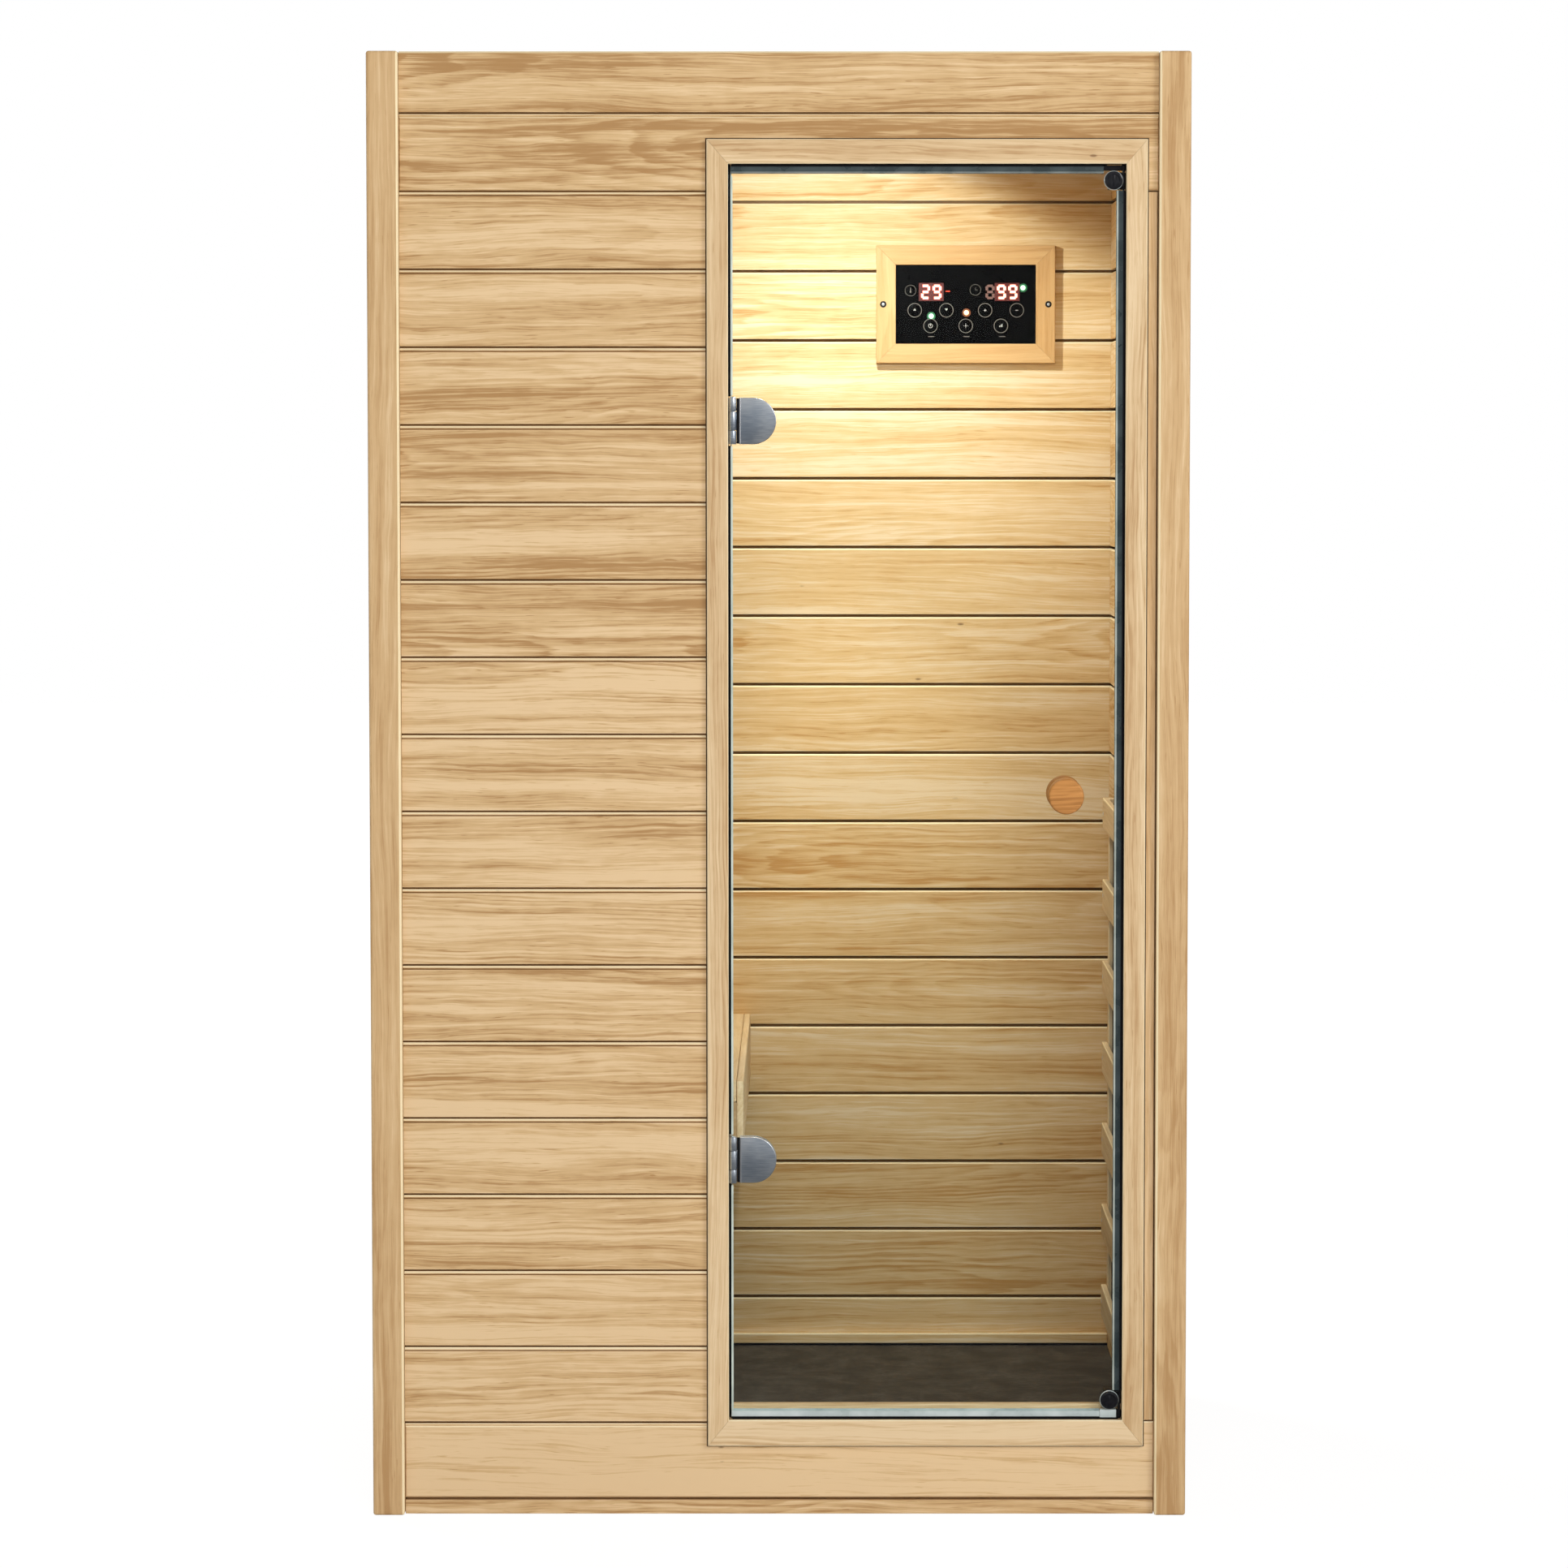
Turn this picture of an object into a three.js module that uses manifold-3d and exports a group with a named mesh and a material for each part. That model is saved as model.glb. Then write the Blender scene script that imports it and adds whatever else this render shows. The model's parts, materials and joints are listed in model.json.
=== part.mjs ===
// Infrared sauna cabin for one person: boarded wall panels on a floor base, a frameless glass door,
// a bench along the left wall, heaters behind slatted guards and a control panel on the rear wall.
// Millimetres, +Z up. The front, with the door, faces -Y, and +X is to the right of someone facing it.

import * as THREE from "three";
import { mergeVertices } from "three/addons/utils/BufferGeometryUtils.js";
import Module from "manifold-3d";

const wasm = await Module();
wasm.setup();

// Whole cabin
const CABIN_WIDTH = 1060;
const CABIN_DEPTH = 900;
const CABIN_HEIGHT = 1900;
const FIT = 0.3; // gap between two pieces that seat on each other
const OVERCUT = 1; // how far a cut runs past the face that it opens, or a joint into its neighbour
const ROUND_SIDES = 20;

// Tongue-and-groove boards
const BOARD_PITCH = 100;
const BOARD_THICKNESS = 10;
const INNER_BOARD_THICKNESS = 12;
const GROOVE_WIDTH = 4;
const GROOVE_DEPTH = 3;
const INNER_FIRST_JOINT = 148;
const CEILING_FIRST_JOINT = 90;

// Walls
const STUD_DEPTH = 28;
const STUD_WIDTH = 30;
const RAIL_HEIGHT = 45;
const WIDEST_STUD_GAP = 170;
const FRONT_SETBACK = 10; // boards behind the post faces, front and rear
const SIDE_SETBACK = 3; // side boards behind the post faces
const POST_DEPTH = 41;
const BOARD_LIFT = 4; // shadow gap between the base strip and the lowest board

// Floor and roof
const BASE_THICKNESS = 18;
const BASE_SETBACK = 1; // base strip behind the boards
const DECK_HEIGHT = 67;
const DECK_THICKNESS = 18;
const MAT_THICKNESS = 7.7;
const JOIST_WIDTH = 60;
const FLOOR_BAYS = 4;
const SKIRTING_HEIGHT = 18;
const SKIRTING_THICKNESS = 12;
const SKIRTING_GAP = 3; // dark line above the mat
const ROOF_RIM = 20; // walls' top edge above the roof cover's seat
const ROOF_COVER_THICKNESS = 9;
const ROOF_SPACE_GAP = 18; // between the power box and the roof cover's seat

// Doorway and casing
const DOORWAY_WIDTH = 512.5;
const DOORWAY_SILL = 125;
const DOORWAY_BELOW_CEILING = 44;
const DOOR_FRAME_THICKNESS = 14;
const DOOR_STOP_HEIGHT = 12;
const DOOR_STOP_DEPTH = 12;
const DOOR_STOP_CLEARANCE = 0.5; // behind the seal
const CASING_THICKNESS = 7.7;
const CASING_SIDE_WIDTH = 27.5;
const CASING_HEAD_WIDTH = 31.5;
const CASING_SILL_WIDTH = 34;
const CASING_CHAMFER = 1.5;
const CASING_FROM_POST = 14.5;
const MITRE_GAP = 0.2;

// Glass door
const GLASS_THICKNESS = 8;
const GLASS_SETBACK = 14; // glass behind the post faces
const SEAL_LEG = 9;
const SEAL_WALL = 1.4;
const SEAL_CLEARANCE = 1.3; // between the seal and the door frame
const KNOB_RADIUS = 23;
const KNOB_LENGTH = 34;
const KNOB_EDGE_RADIUS = 3;
const KNOB_EDGE_STEPS = 3;
const KNOB_END_WALL = 9.6;
const KNOB_FROM_EDGE = 73;
const KNOB_ABOVE_SILL = 817;
const BOLT_RADIUS = 4;
const BOLT_CLEARANCE = 0.4;
const GLASS_HOLE_CLEARANCE = 0.5;

// Door hinges
const HINGE_HEIGHT = 60;
const HINGE_FROM_HEAD = 330;
const HINGE_FROM_SILL = 341;
const KNUCKLE_RADIUS = 4.75;
const KNUCKLE_FRAME_GAP = 1.05; // between the knuckles and the door frame
const KNUCKLE_GLASS_GAP = 1.25;
const MIDDLE_KNUCKLE_HEIGHT = 24;
const KNUCKLE_GAP = 0.6;
const PIN_RADIUS = 2.3;
const PIN_CLEARANCE = 0.15;
const LEAF_THICKNESS = 2;
const LEAF_DEPTH = 34;
const LEAF_GLASS_GAP = 0.7;
const PLATE_WIDTH = 47.5;
const PLATE_THICKNESS = 5;
const PLATE_KNUCKLE_GAP = 3.95;
const PLATE_CHAMFER = 0.8;
const PLATE_BOSS_RADIUS = 5;
const PLATE_BOSS_FROM_END = 15;

// Door catches
const STRIKER_RADIUS = 12.5;
const STRIKER_THICKNESS = 5.5;
const STRIKER_CHAMFER = 1;
const STRIKER_STUD_RADIUS = 4;
const STRIKER_BACK_RADIUS = 9;
const STRIKER_BACK_THICKNESS = 3;
const STRIKER_EDGE_GAP = 0.5; // from its rim to the free edge of the glass
const STRIKER_TOP_GAP = 5.5; // from its rim to the top of the glass
const STRIKER_STOP_GAP = 4; // from its back to the door stop
const MAGNET_HEIGHT = 22;
const MAGNET_DEPTH = 20;
const MAGNET_WIDTH = 22;

// Bench
const BENCH_DEPTH = 430;
const BENCH_HEIGHT = 488; // above the mat
const SEAT_THICKNESS = 28;
const SEAT_SLATS = 5;
const SEAT_SLAT_GAP = 8;
const SEAT_BATTEN_THICKNESS = 18;
const SEAT_BATTEN_WIDTH = 40;
const APRON_HEIGHT = 90;
const APRON_THICKNESS = 9;
const BENCH_RAILS = 5;
const BENCH_RAIL_WIDTH = 30;
const BENCH_RAIL_HEIGHT = 46;

// Wall heaters and their guards
const HEATER_THICKNESS = 5;
const HEATER_MARGIN = 6;
const GUARD_END_MARGIN = 150; // to the front and rear walls
const GUARD_AIR_GAP = 5;
const SLAT_THICKNESS = 8;
const SLAT_HEIGHT = 44;
const SLAT_PITCH = 117;
const BATTEN_WIDTH = 30;
const RIGHT_GUARD_ABOVE_MAT = 70;
const RIGHT_GUARD_SLATS = 7;
const BACK_GUARD_ABOVE_BENCH = 77;
const BACK_GUARD_SLATS = 6;

// Control panel on the rear wall
const BEZEL_WIDTH = 259;
const BEZEL_HEIGHT = 170;
const BEZEL_DEPTH = 15;
const BEZEL_BORDER_SIDE = 28;
const BEZEL_BORDER_TOP = 28;
const BEZEL_LIP_DEPTH = 5.5;
const BEZEL_REBATE = 6;
const BEZEL_CHAMFER = 2;
const BEZEL_FROM_RIGHT_WALL = 81.5;
const BEZEL_BELOW_CEILING = 117;
const KEY_RADIUS = 10.5;
const KEY_THICKNESS = 4;
const KEY_PROUD = 0.8;
const KEY_TRAVEL = 0.6;
const KEY_CLEARANCE = 0.3;
const KEY_FROM_SIDE = 27.5; // outermost keys to the side of the window
const KEY_FROM_BOTTOM = 26; // lower row to the foot of the window
const KEY_ROW_PITCH = 22.5;
const UPPER_KEY_SPREAD = [-1, -0.38, 0.38, 1]; // of the reach of the outermost keys
const LOWER_KEY_SPREAD = [-0.69, 0, 0.69];

// Ceiling lamp, power box and cord gland
const LAMP_LENS_RADIUS = 36;
const LAMP_RIM_WIDTH = 10;
const LAMP_LIP = 3;
const LAMP_LENS_THICKNESS = 4;
const LAMP_BACK_GAP = 4;
const LAMP_FROM_REAR = 390;
const LAMP_FROM_CENTRE = 80;
const POWER_BOX_SIZE = { width: 260, depth: 180, height: 50 };
const POWER_BOX_FROM_REAR = 80;
const POWER_BOX_FROM_CENTRE = -220;
const GLAND_RADIUS = 8.5;
const GLAND_NUT_RIM = 4.5;
const GLAND_NUT_HEIGHT = 8.5;
const GLAND_WALL = 3.5;
const GLAND_RECESS_DEPTH = 3;

// Planes that the pieces share, in the cabin's own frame: y = 0 is the front face of the posts
const postWidth = SIDE_SETBACK + BOARD_THICKNESS + STUD_DEPTH;
const halfWidth = CABIN_WIDTH / 2;
const postInner = halfWidth - postWidth;
const roomHalf = postInner - INNER_BOARD_THICKNESS;
const frontStud = FRONT_SETBACK + BOARD_THICKNESS;
const frontInner = frontStud + STUD_DEPTH;
const roomFront = frontInner + INNER_BOARD_THICKNESS;
const rearFace = CABIN_DEPTH - FRONT_SETBACK;
const rearStud = rearFace - BOARD_THICKNESS;
const rearInner = rearStud - STUD_DEPTH;
const roomRear = rearInner - INNER_BOARD_THICKNESS;
const rearPost = CABIN_DEPTH - POST_DEPTH;
const panelBottom = BASE_THICKNESS + FIT;
const boardBottom = BASE_THICKNESS + BOARD_LIFT;
const firstJoint = boardBottom + BOARD_PITCH;
const roofSeat = CABIN_HEIGHT - ROOF_RIM;
const powerBoxTop = roofSeat - ROOF_SPACE_GAP;
const powerBoxBottom = powerBoxTop - POWER_BOX_SIZE.height;
const ceilingUnder = powerBoxBottom - INNER_BOARD_THICKNESS;
const matTop = DECK_HEIGHT + FIT + MAT_THICKNESS;
const benchTop = matTop + BENCH_HEIGHT;
const panelRun = [-postInner + FIT, postInner - FIT];
const roomRun = [-roomHalf + FIT, roomHalf - FIT];
const roomDepth = [roomFront + FIT, roomRear - FIT];

const doorwayRight = postInner - CASING_FROM_POST - CASING_SIDE_WIDTH;
const doorwayLeft = doorwayRight - DOORWAY_WIDTH;
const doorwayHead = ceilingUnder - DOORWAY_BELOW_CEILING;
const sealGap = FIT + SEAL_WALL + SEAL_CLEARANCE;
const glassLeft = doorwayLeft + FIT + LEAF_THICKNESS + LEAF_GLASS_GAP;
const glassRight = doorwayRight - sealGap;
const glassBottom = DOORWAY_SILL + sealGap;
const glassTop = doorwayHead - sealGap;
const glassFront = GLASS_SETBACK;
const glassBack = glassFront + GLASS_THICKNESS;
const hingeX = doorwayLeft + KNUCKLE_FRAME_GAP + KNUCKLE_RADIUS;
const hingeY = glassFront - KNUCKLE_GLASS_GAP - KNUCKLE_RADIUS;
const knobX = glassRight - KNOB_FROM_EDGE;
const knobZ = DOORWAY_SILL + KNOB_ABOVE_SILL;
const strikerX = glassRight - STRIKER_EDGE_GAP - STRIKER_RADIUS;
const hingeHeights = { upper: doorwayHead - HINGE_FROM_HEAD, lower: DOORWAY_SILL + HINGE_FROM_SILL };
const stopTop = DOORWAY_SILL + DOOR_STOP_HEIGHT;
const strikerHeights = {
  top: glassTop - STRIKER_TOP_GAP - STRIKER_RADIUS,
  bottom: stopTop + STRIKER_STOP_GAP + STRIKER_BACK_RADIUS,
};

const UP = new THREE.Vector3(0, 0, 1);
const DOWN = new THREE.Vector3(0, 0, -1);
const TO_FRONT = new THREE.Vector3(0, -1, 0);
const TO_REAR = new THREE.Vector3(0, 1, 0);
const TO_LEFT = new THREE.Vector3(-1, 0, 0);
const TO_RIGHT = new THREE.Vector3(1, 0, 0);

// Finishes
const finish = (color, roughness, metalness = 0) =>
  new THREE.MeshStandardMaterial({ color, roughness, metalness });
const paleWood = () => finish(0xd6b384, 0.6);
const plainWood = () => finish(0xc9a878, 0.7);
const knobWood = () => finish(0xc98d54, 0.5);
const satinSteel = () => finish(0xa9adb5, 0.35, 0.9);
const blackPlastic = () => finish(0x17171a, 0.4);
const glossBlack = () => finish(0x0c0c0e, 0.15);
const ribbedMat = () => finish(0x2a2522, 0.85);
const heaterSheet = () => finish(0x6e5a4c, 0.8);
const paintedSteel = () => finish(0x8d9094, 0.5, 0.8);
const opalPlastic = () => finish(0xfff1cf, 0.3);
const clearGlass = () => finish(0xdff0ea, 0.02);
const clearPlastic = () => finish(0xcfdad6, 0.25);

// Joining and cutting closed shapes
function toSolid(geometry) {
  const bare = geometry.clone();
  bare.deleteAttribute("normal");
  bare.deleteAttribute("uv");
  const merged = mergeVertices(bare);
  const vertProperties = new Float32Array(merged.attributes.position.array);
  const triVerts = new Uint32Array(merged.index.array);
  return new wasm.Manifold(new wasm.Mesh({ numProp: 3, vertProperties, triVerts }));
}

function toGeometry(solid) {
  const mesh = solid.getMesh();
  const geometry = new THREE.BufferGeometry();
  geometry.setAttribute("position", new THREE.BufferAttribute(mesh.vertProperties, 3));
  geometry.setIndex(new THREE.BufferAttribute(mesh.triVerts, 1));
  geometry.computeVertexNormals();
  return geometry;
}

const join = (...shapes) => toGeometry(shapes.map(toSolid).reduce((a, b) => a.add(b)));
const cut = (shape, ...tools) =>
  toGeometry(tools.map(toSolid).reduce((a, b) => a.subtract(b), toSolid(shape)));

// Basic shapes in the cabin's frame
function block([x0, x1], [y0, y1], [z0, z1]) {
  const geometry = new THREE.BoxGeometry(x1 - x0, y1 - y0, z1 - z0);
  return geometry.translate((x0 + x1) / 2, (y0 + y1) / 2, (z0 + z1) / 2);
}

function rodAlongY(radius, [y0, y1], x, z) {
  const geometry = new THREE.CylinderGeometry(radius, radius, y1 - y0, ROUND_SIDES);
  return geometry.translate(x, (y0 + y1) / 2, z);
}

function rodAlongZ(radius, [z0, z1], x, y) {
  const geometry = new THREE.CylinderGeometry(radius, radius, z1 - z0, ROUND_SIDES);
  return geometry.rotateX(Math.PI / 2).translate(x, y, (z0 + z1) / 2);
}

// A turned shape from [radius, height] points, with its axis along +Y
function turnedShape(points) {
  return new THREE.LatheGeometry(points.map(([r, h]) => new THREE.Vector2(r, h)), ROUND_SIDES);
}

// Moves a geometry so that its X and Y axes point along the two given directions
function aimed(geometry, xAxis, yAxis, origin) {
  const zAxis = xAxis.clone().cross(yAxis);
  const matrix = new THREE.Matrix4().makeBasis(xAxis, yAxis, zAxis);
  return geometry.applyMatrix4(matrix.setPosition(origin));
}

// A plate whose outline is drawn in X and Z, standing from y = back towards the front
function frontPlate(outline, back, thickness, chamfer = 0) {
  const geometry = new THREE.ExtrudeGeometry(outline, {
    depth: thickness - 2 * chamfer,
    bevelEnabled: chamfer > 0,
    bevelThickness: chamfer,
    bevelSize: chamfer,
    bevelOffset: -chamfer,
    bevelSegments: 1,
    curveSegments: ROUND_SIDES / 4,
  });
  return aimed(geometry, TO_RIGHT, UP, new THREE.Vector3(0, back - chamfer, 0));
}

function rectangle([x0, x1], [z0, z1], Outline = THREE.Shape) {
  const outline = new Outline();
  outline.moveTo(x0, z0);
  outline.lineTo(x1, z0);
  outline.lineTo(x1, z1);
  outline.lineTo(x0, z1);
  outline.closePath();
  return outline;
}

// Boards joined into one panel, with a V-groove in the face at each joint.
// The face looks along the panel's X, the boards lie one above the other along Y and run along Z.
function boardPanel(thickness, [low, high], anyJoint, length) {
  const outline = new THREE.Shape();
  outline.moveTo(0, low);
  outline.lineTo(thickness, low);
  const boardsBelow = Math.ceil((low + GROOVE_WIDTH - anyJoint) / BOARD_PITCH);
  const lowestJoint = anyJoint + boardsBelow * BOARD_PITCH;
  for (let joint = lowestJoint; joint < high - GROOVE_WIDTH; joint += BOARD_PITCH) {
    outline.lineTo(thickness, joint - GROOVE_WIDTH / 2);
    outline.lineTo(thickness - GROOVE_DEPTH, joint);
    outline.lineTo(thickness, joint + GROOVE_WIDTH / 2);
  }
  outline.lineTo(thickness, high);
  outline.lineTo(0, high);
  outline.closePath();
  return new THREE.ExtrudeGeometry(outline, { depth: length, bevelEnabled: false });
}

// A board panel that stands upright and faces outwards or into the room
function wallBoards(facing, back, thickness, [from, to], [low, high], anyJoint) {
  const panel = boardPanel(thickness, [low, high], anyJoint, to - from);
  const run = facing.clone().cross(UP);
  const start = run.x + run.y > 0 ? from : to;
  const alongFacing = new THREE.Vector3(Math.abs(facing.x), Math.abs(facing.y), 0);
  const alongRun = new THREE.Vector3(Math.abs(run.x), Math.abs(run.y), 0);
  const origin = alongFacing.multiplyScalar(back).add(alongRun.multiplyScalar(start));
  return aimed(panel, facing, UP, origin);
}

// Even spans between the studs of a frame that runs from one stile to the other
function studGaps([from, to]) {
  const inner = to - from - 2 * STUD_WIDTH;
  const gaps = Math.ceil((inner + STUD_WIDTH) / (WIDEST_STUD_GAP + STUD_WIDTH));
  const gap = (inner - (gaps - 1) * STUD_WIDTH) / gaps;
  const starts = Array.from({ length: gaps }, (_, i) => from + STUD_WIDTH + i * (gap + STUD_WIDTH));
  return starts.map((start) => [start, start + gap]);
}

// Lowest edges of evenly spaced pieces that fill a span from end to end
function evenSpread([from, to], count, width) {
  const step = (to - from - width) / (count - 1);
  return Array.from({ length: count }, (_, i) => from + i * step);
}

const cabin = new THREE.Group();
cabin.name = "cabin";
const door = new THREE.Group();
door.name = "door";
door.position.set(hingeX, hingeY, 0);
cabin.add(door);

function addTo(group, name, material, geometry) {
  const mesh = new THREE.Mesh(geometry, material);
  mesh.name = name;
  group.add(mesh);
  return mesh;
}

const addFixed = (name, material, geometry) => addTo(cabin, name, material, geometry);
const addToDoor = (name, material, geometry) =>
  addTo(door, name, material, geometry.translate(-hingeX, -hingeY, 0));

// Floor
function floorBase() {
  const lip = block(panelRun, [FRONT_SETBACK + BASE_SETBACK, rearFace - BASE_SETBACK], [0, BASE_THICKNESS]);
  const deck = block(roomRun, roomDepth, [0, DECK_HEIGHT]);
  const slab = join(lip, deck);
  const hollowDepth = [roomFront + JOIST_WIDTH, roomRear - JOIST_WIDTH];
  const halfRun = roomHalf - JOIST_WIDTH;
  const bayPitch = (2 * halfRun) / FLOOR_BAYS;
  const bays = Array.from({ length: FLOOR_BAYS }, (_, i) => {
    const start = -halfRun + i * bayPitch + JOIST_WIDTH / 2;
    const across = [start, start + bayPitch - JOIST_WIDTH];
    return block(across, hollowDepth, [-OVERCUT, DECK_HEIGHT - DECK_THICKNESS]);
  });
  return cut(slab, ...bays);
}

function addFloor() {
  addFixed("floor_base", plainWood(), floorBase());
  const mat = block(roomRun, roomDepth, [DECK_HEIGHT + FIT, matTop]);
  addFixed("floor_mat", ribbedMat(), mat);
  const skirtingDepth = [roomRear - FIT - SKIRTING_THICKNESS, roomRear - FIT];
  const skirting = block(roomRun, skirtingDepth, [matTop + SKIRTING_GAP, matTop + SKIRTING_HEIGHT]);
  addFixed("rear_skirting", paleWood(), skirting);
}

// Side and rear walls
function sideWallPanel(side) {
  const facing = side < 0 ? TO_LEFT : TO_RIGHT;
  const boardBack = side * (halfWidth - SIDE_SETBACK - BOARD_THICKNESS);
  const span = [POST_DEPTH + FIT, rearPost];
  const boards = wallBoards(facing, boardBack, BOARD_THICKNESS, span, [boardBottom, CABIN_HEIGHT],
    firstJoint);
  const across = (inner, outer) => [side * inner, side * outer].sort((a, b) => a - b);
  const studOuter = halfWidth - SIDE_SETBACK - BOARD_THICKNESS / 2;
  const frame = block(across(postInner, studOuter), span, [0, roofSeat]);
  const bayAcross = across(postInner - OVERCUT, studOuter - BOARD_THICKNESS / 2);
  const bays = studGaps(span).map((gap) => block(bayAcross, gap, [RAIL_HEIGHT, roofSeat - RAIL_HEIGHT]));
  const stripOuter = halfWidth - SIDE_SETBACK - BASE_SETBACK;
  const strip = block(across(postInner, stripOuter), span, [0, BASE_THICKNESS]);
  const stile = block(across(postInner, halfWidth), [rearPost - FIT, CABIN_DEPTH], [0, CABIN_HEIGHT]);
  return join(cut(join(frame, boards), ...bays), strip, stile);
}

function rearWallPanel() {
  const boards = wallBoards(TO_REAR, rearStud, BOARD_THICKNESS, panelRun, [boardBottom, CABIN_HEIGHT],
    firstJoint);
  const frame = block(panelRun, [rearInner + FIT, rearStud + BOARD_THICKNESS / 2], [panelBottom, roofSeat]);
  const bayRise = [panelBottom + RAIL_HEIGHT, roofSeat - RAIL_HEIGHT];
  const bays = studGaps(panelRun).map((gap) => block(gap, [rearInner - OVERCUT, rearStud], bayRise));
  return cut(join(frame, boards), ...bays);
}

function addWalls() {
  for (const [name, side] of [["left", -1], ["right", 1]]) {
    const across = [side * postInner, side * halfWidth].sort((a, b) => a - b);
    const post = block(across, [0, POST_DEPTH], [0, CABIN_HEIGHT]);
    addFixed(`${name}_front_post`, paleWood(), post);
    addFixed(`${name}_wall_panel`, paleWood(), sideWallPanel(side));
    const facing = side < 0 ? TO_RIGHT : TO_LEFT;
    const lining = wallBoards(facing, side * (postInner - FIT), INNER_BOARD_THICKNESS - FIT, roomDepth,
      [panelBottom, ceilingUnder - FIT], INNER_FIRST_JOINT);
    addFixed(`${name}_inner_boards`, paleWood(), lining);
  }
  addFixed("rear_wall_panel", paleWood(), rearWallPanel());
  const rearLining = wallBoards(TO_FRONT, rearInner, INNER_BOARD_THICKNESS, panelRun,
    [panelBottom, ceilingUnder - FIT], INNER_FIRST_JOINT);
  addFixed("rear_inner_boards", paleWood(), rearLining);
}

// Front wall with the doorway
const frameRun = [doorwayLeft - DOOR_FRAME_THICKNESS, doorwayRight + DOOR_FRAME_THICKNESS];
const frameRise = [DOORWAY_SILL - DOOR_FRAME_THICKNESS, doorwayHead + DOOR_FRAME_THICKNESS];
const cutoutRun = [frameRun[0] - FIT, frameRun[1] + FIT];
const cutoutRise = [frameRise[0] - FIT, frameRise[1] + FIT];
const jointBelow = (z) => firstJoint + Math.floor((z - firstJoint) / BOARD_PITCH) * BOARD_PITCH;
const fillerRise = [jointBelow(DOORWAY_SILL), jointBelow(doorwayHead)];

function addFrontWall() {
  const frame = block(panelRun, [frontStud + FIT, frontInner - FIT], [panelBottom, roofSeat]);
  const cutout = block(cutoutRun, [0, roomFront + OVERCUT], cutoutRise);
  const bays = studGaps([panelRun[0], cutoutRun[0]]).map((gap) =>
    block(gap, [0, roomFront], [panelBottom + RAIL_HEIGHT, roofSeat - RAIL_HEIGHT]));
  addFixed("front_frame", plainWood(), cut(frame, cutout, ...bays));

  const outer = wallBoards(TO_FRONT, frontStud, BOARD_THICKNESS, panelRun, [boardBottom, CABIN_HEIGHT],
    firstJoint);
  const fillerCut = block([cutoutRun[1] - OVERCUT, halfWidth], [0, roomFront], fillerRise);
  addFixed("front_outer_boards", paleWood(), cut(outer, cutout, fillerCut));

  const fillerRun = [cutoutRun[1], panelRun[1]];
  const filler = block(fillerRun, [FRONT_SETBACK, frontStud], [fillerRise[0] + FIT, fillerRise[1] - FIT]);
  addFixed("front_filler_strip", paleWood(), filler);

  const inner = wallBoards(TO_REAR, frontInner, INNER_BOARD_THICKNESS, panelRun,
    [panelBottom, ceilingUnder - FIT], INNER_FIRST_JOINT);
  addFixed("front_inner_boards", paleWood(), cut(inner, cutout));
}

// Door frame lining the doorway, with the stop that the foot of the door closes against
function addDoorFrame() {
  const ring = block(frameRun, [FRONT_SETBACK, roomFront], frameRise);
  const way = block([doorwayLeft, doorwayRight], [0, roomFront + OVERCUT], [DOORWAY_SILL, doorwayHead]);
  const stopFront = glassBack + FIT + SEAL_WALL + DOOR_STOP_CLEARANCE;
  const stop = block([doorwayLeft - OVERCUT, doorwayRight + OVERCUT],
    [stopFront, stopFront + DOOR_STOP_DEPTH], [DOORWAY_SILL - OVERCUT, stopTop]);
  addFixed("door_frame", paleWood(), join(cut(ring, way), stop));
}

// A mitred length of casing: X runs from the inner edge outwards, Y towards the viewer, Z along it.
// The ends lean out by the neighbour's width over this one's, so unequal casings still meet.
function casingLength(width, innerLength, lowNeighbour, highNeighbour) {
  const outline = new THREE.Shape();
  outline.moveTo(0, 0);
  outline.lineTo(width, 0);
  outline.lineTo(width, CASING_THICKNESS - CASING_CHAMFER);
  outline.lineTo(width - CASING_CHAMFER, CASING_THICKNESS);
  outline.lineTo(CASING_CHAMFER, CASING_THICKNESS);
  outline.lineTo(0, CASING_THICKNESS - CASING_CHAMFER);
  outline.closePath();
  const geometry = new THREE.ExtrudeGeometry(outline, { depth: innerLength, bevelEnabled: false });
  const points = geometry.attributes.position;
  for (let i = 0; i < points.count; i += 1) {
    const atLowEnd = points.getZ(i) < innerLength / 2;
    const lean = (points.getX(i) * (atLowEnd ? lowNeighbour : highNeighbour)) / width - MITRE_GAP;
    points.setZ(i, atLowEnd ? -lean : innerLength + lean);
  }
  return geometry;
}

function addCasing() {
  const back = FRONT_SETBACK - FIT;
  const height = doorwayHead - DOORWAY_SILL;
  const at = (x, z) => new THREE.Vector3(x, back, z);
  const left = casingLength(CASING_SIDE_WIDTH, height, CASING_SILL_WIDTH, CASING_HEAD_WIDTH);
  addFixed("casing_left", paleWood(), aimed(left, TO_LEFT, TO_FRONT, at(doorwayLeft, DOORWAY_SILL)));
  const right = casingLength(CASING_SIDE_WIDTH, height, CASING_HEAD_WIDTH, CASING_SILL_WIDTH);
  addFixed("casing_right", paleWood(), aimed(right, TO_RIGHT, TO_FRONT, at(doorwayRight, doorwayHead)));
  const head = casingLength(CASING_HEAD_WIDTH, DOORWAY_WIDTH, CASING_SIDE_WIDTH, CASING_SIDE_WIDTH);
  addFixed("casing_head", paleWood(), aimed(head, UP, TO_FRONT, at(doorwayLeft, doorwayHead)));
  const sill = casingLength(CASING_SILL_WIDTH, DOORWAY_WIDTH, CASING_SIDE_WIDTH, CASING_SIDE_WIDTH);
  addFixed("casing_sill", paleWood(), aimed(sill, DOWN, TO_FRONT, at(doorwayRight, DOORWAY_SILL)));
}

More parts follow.
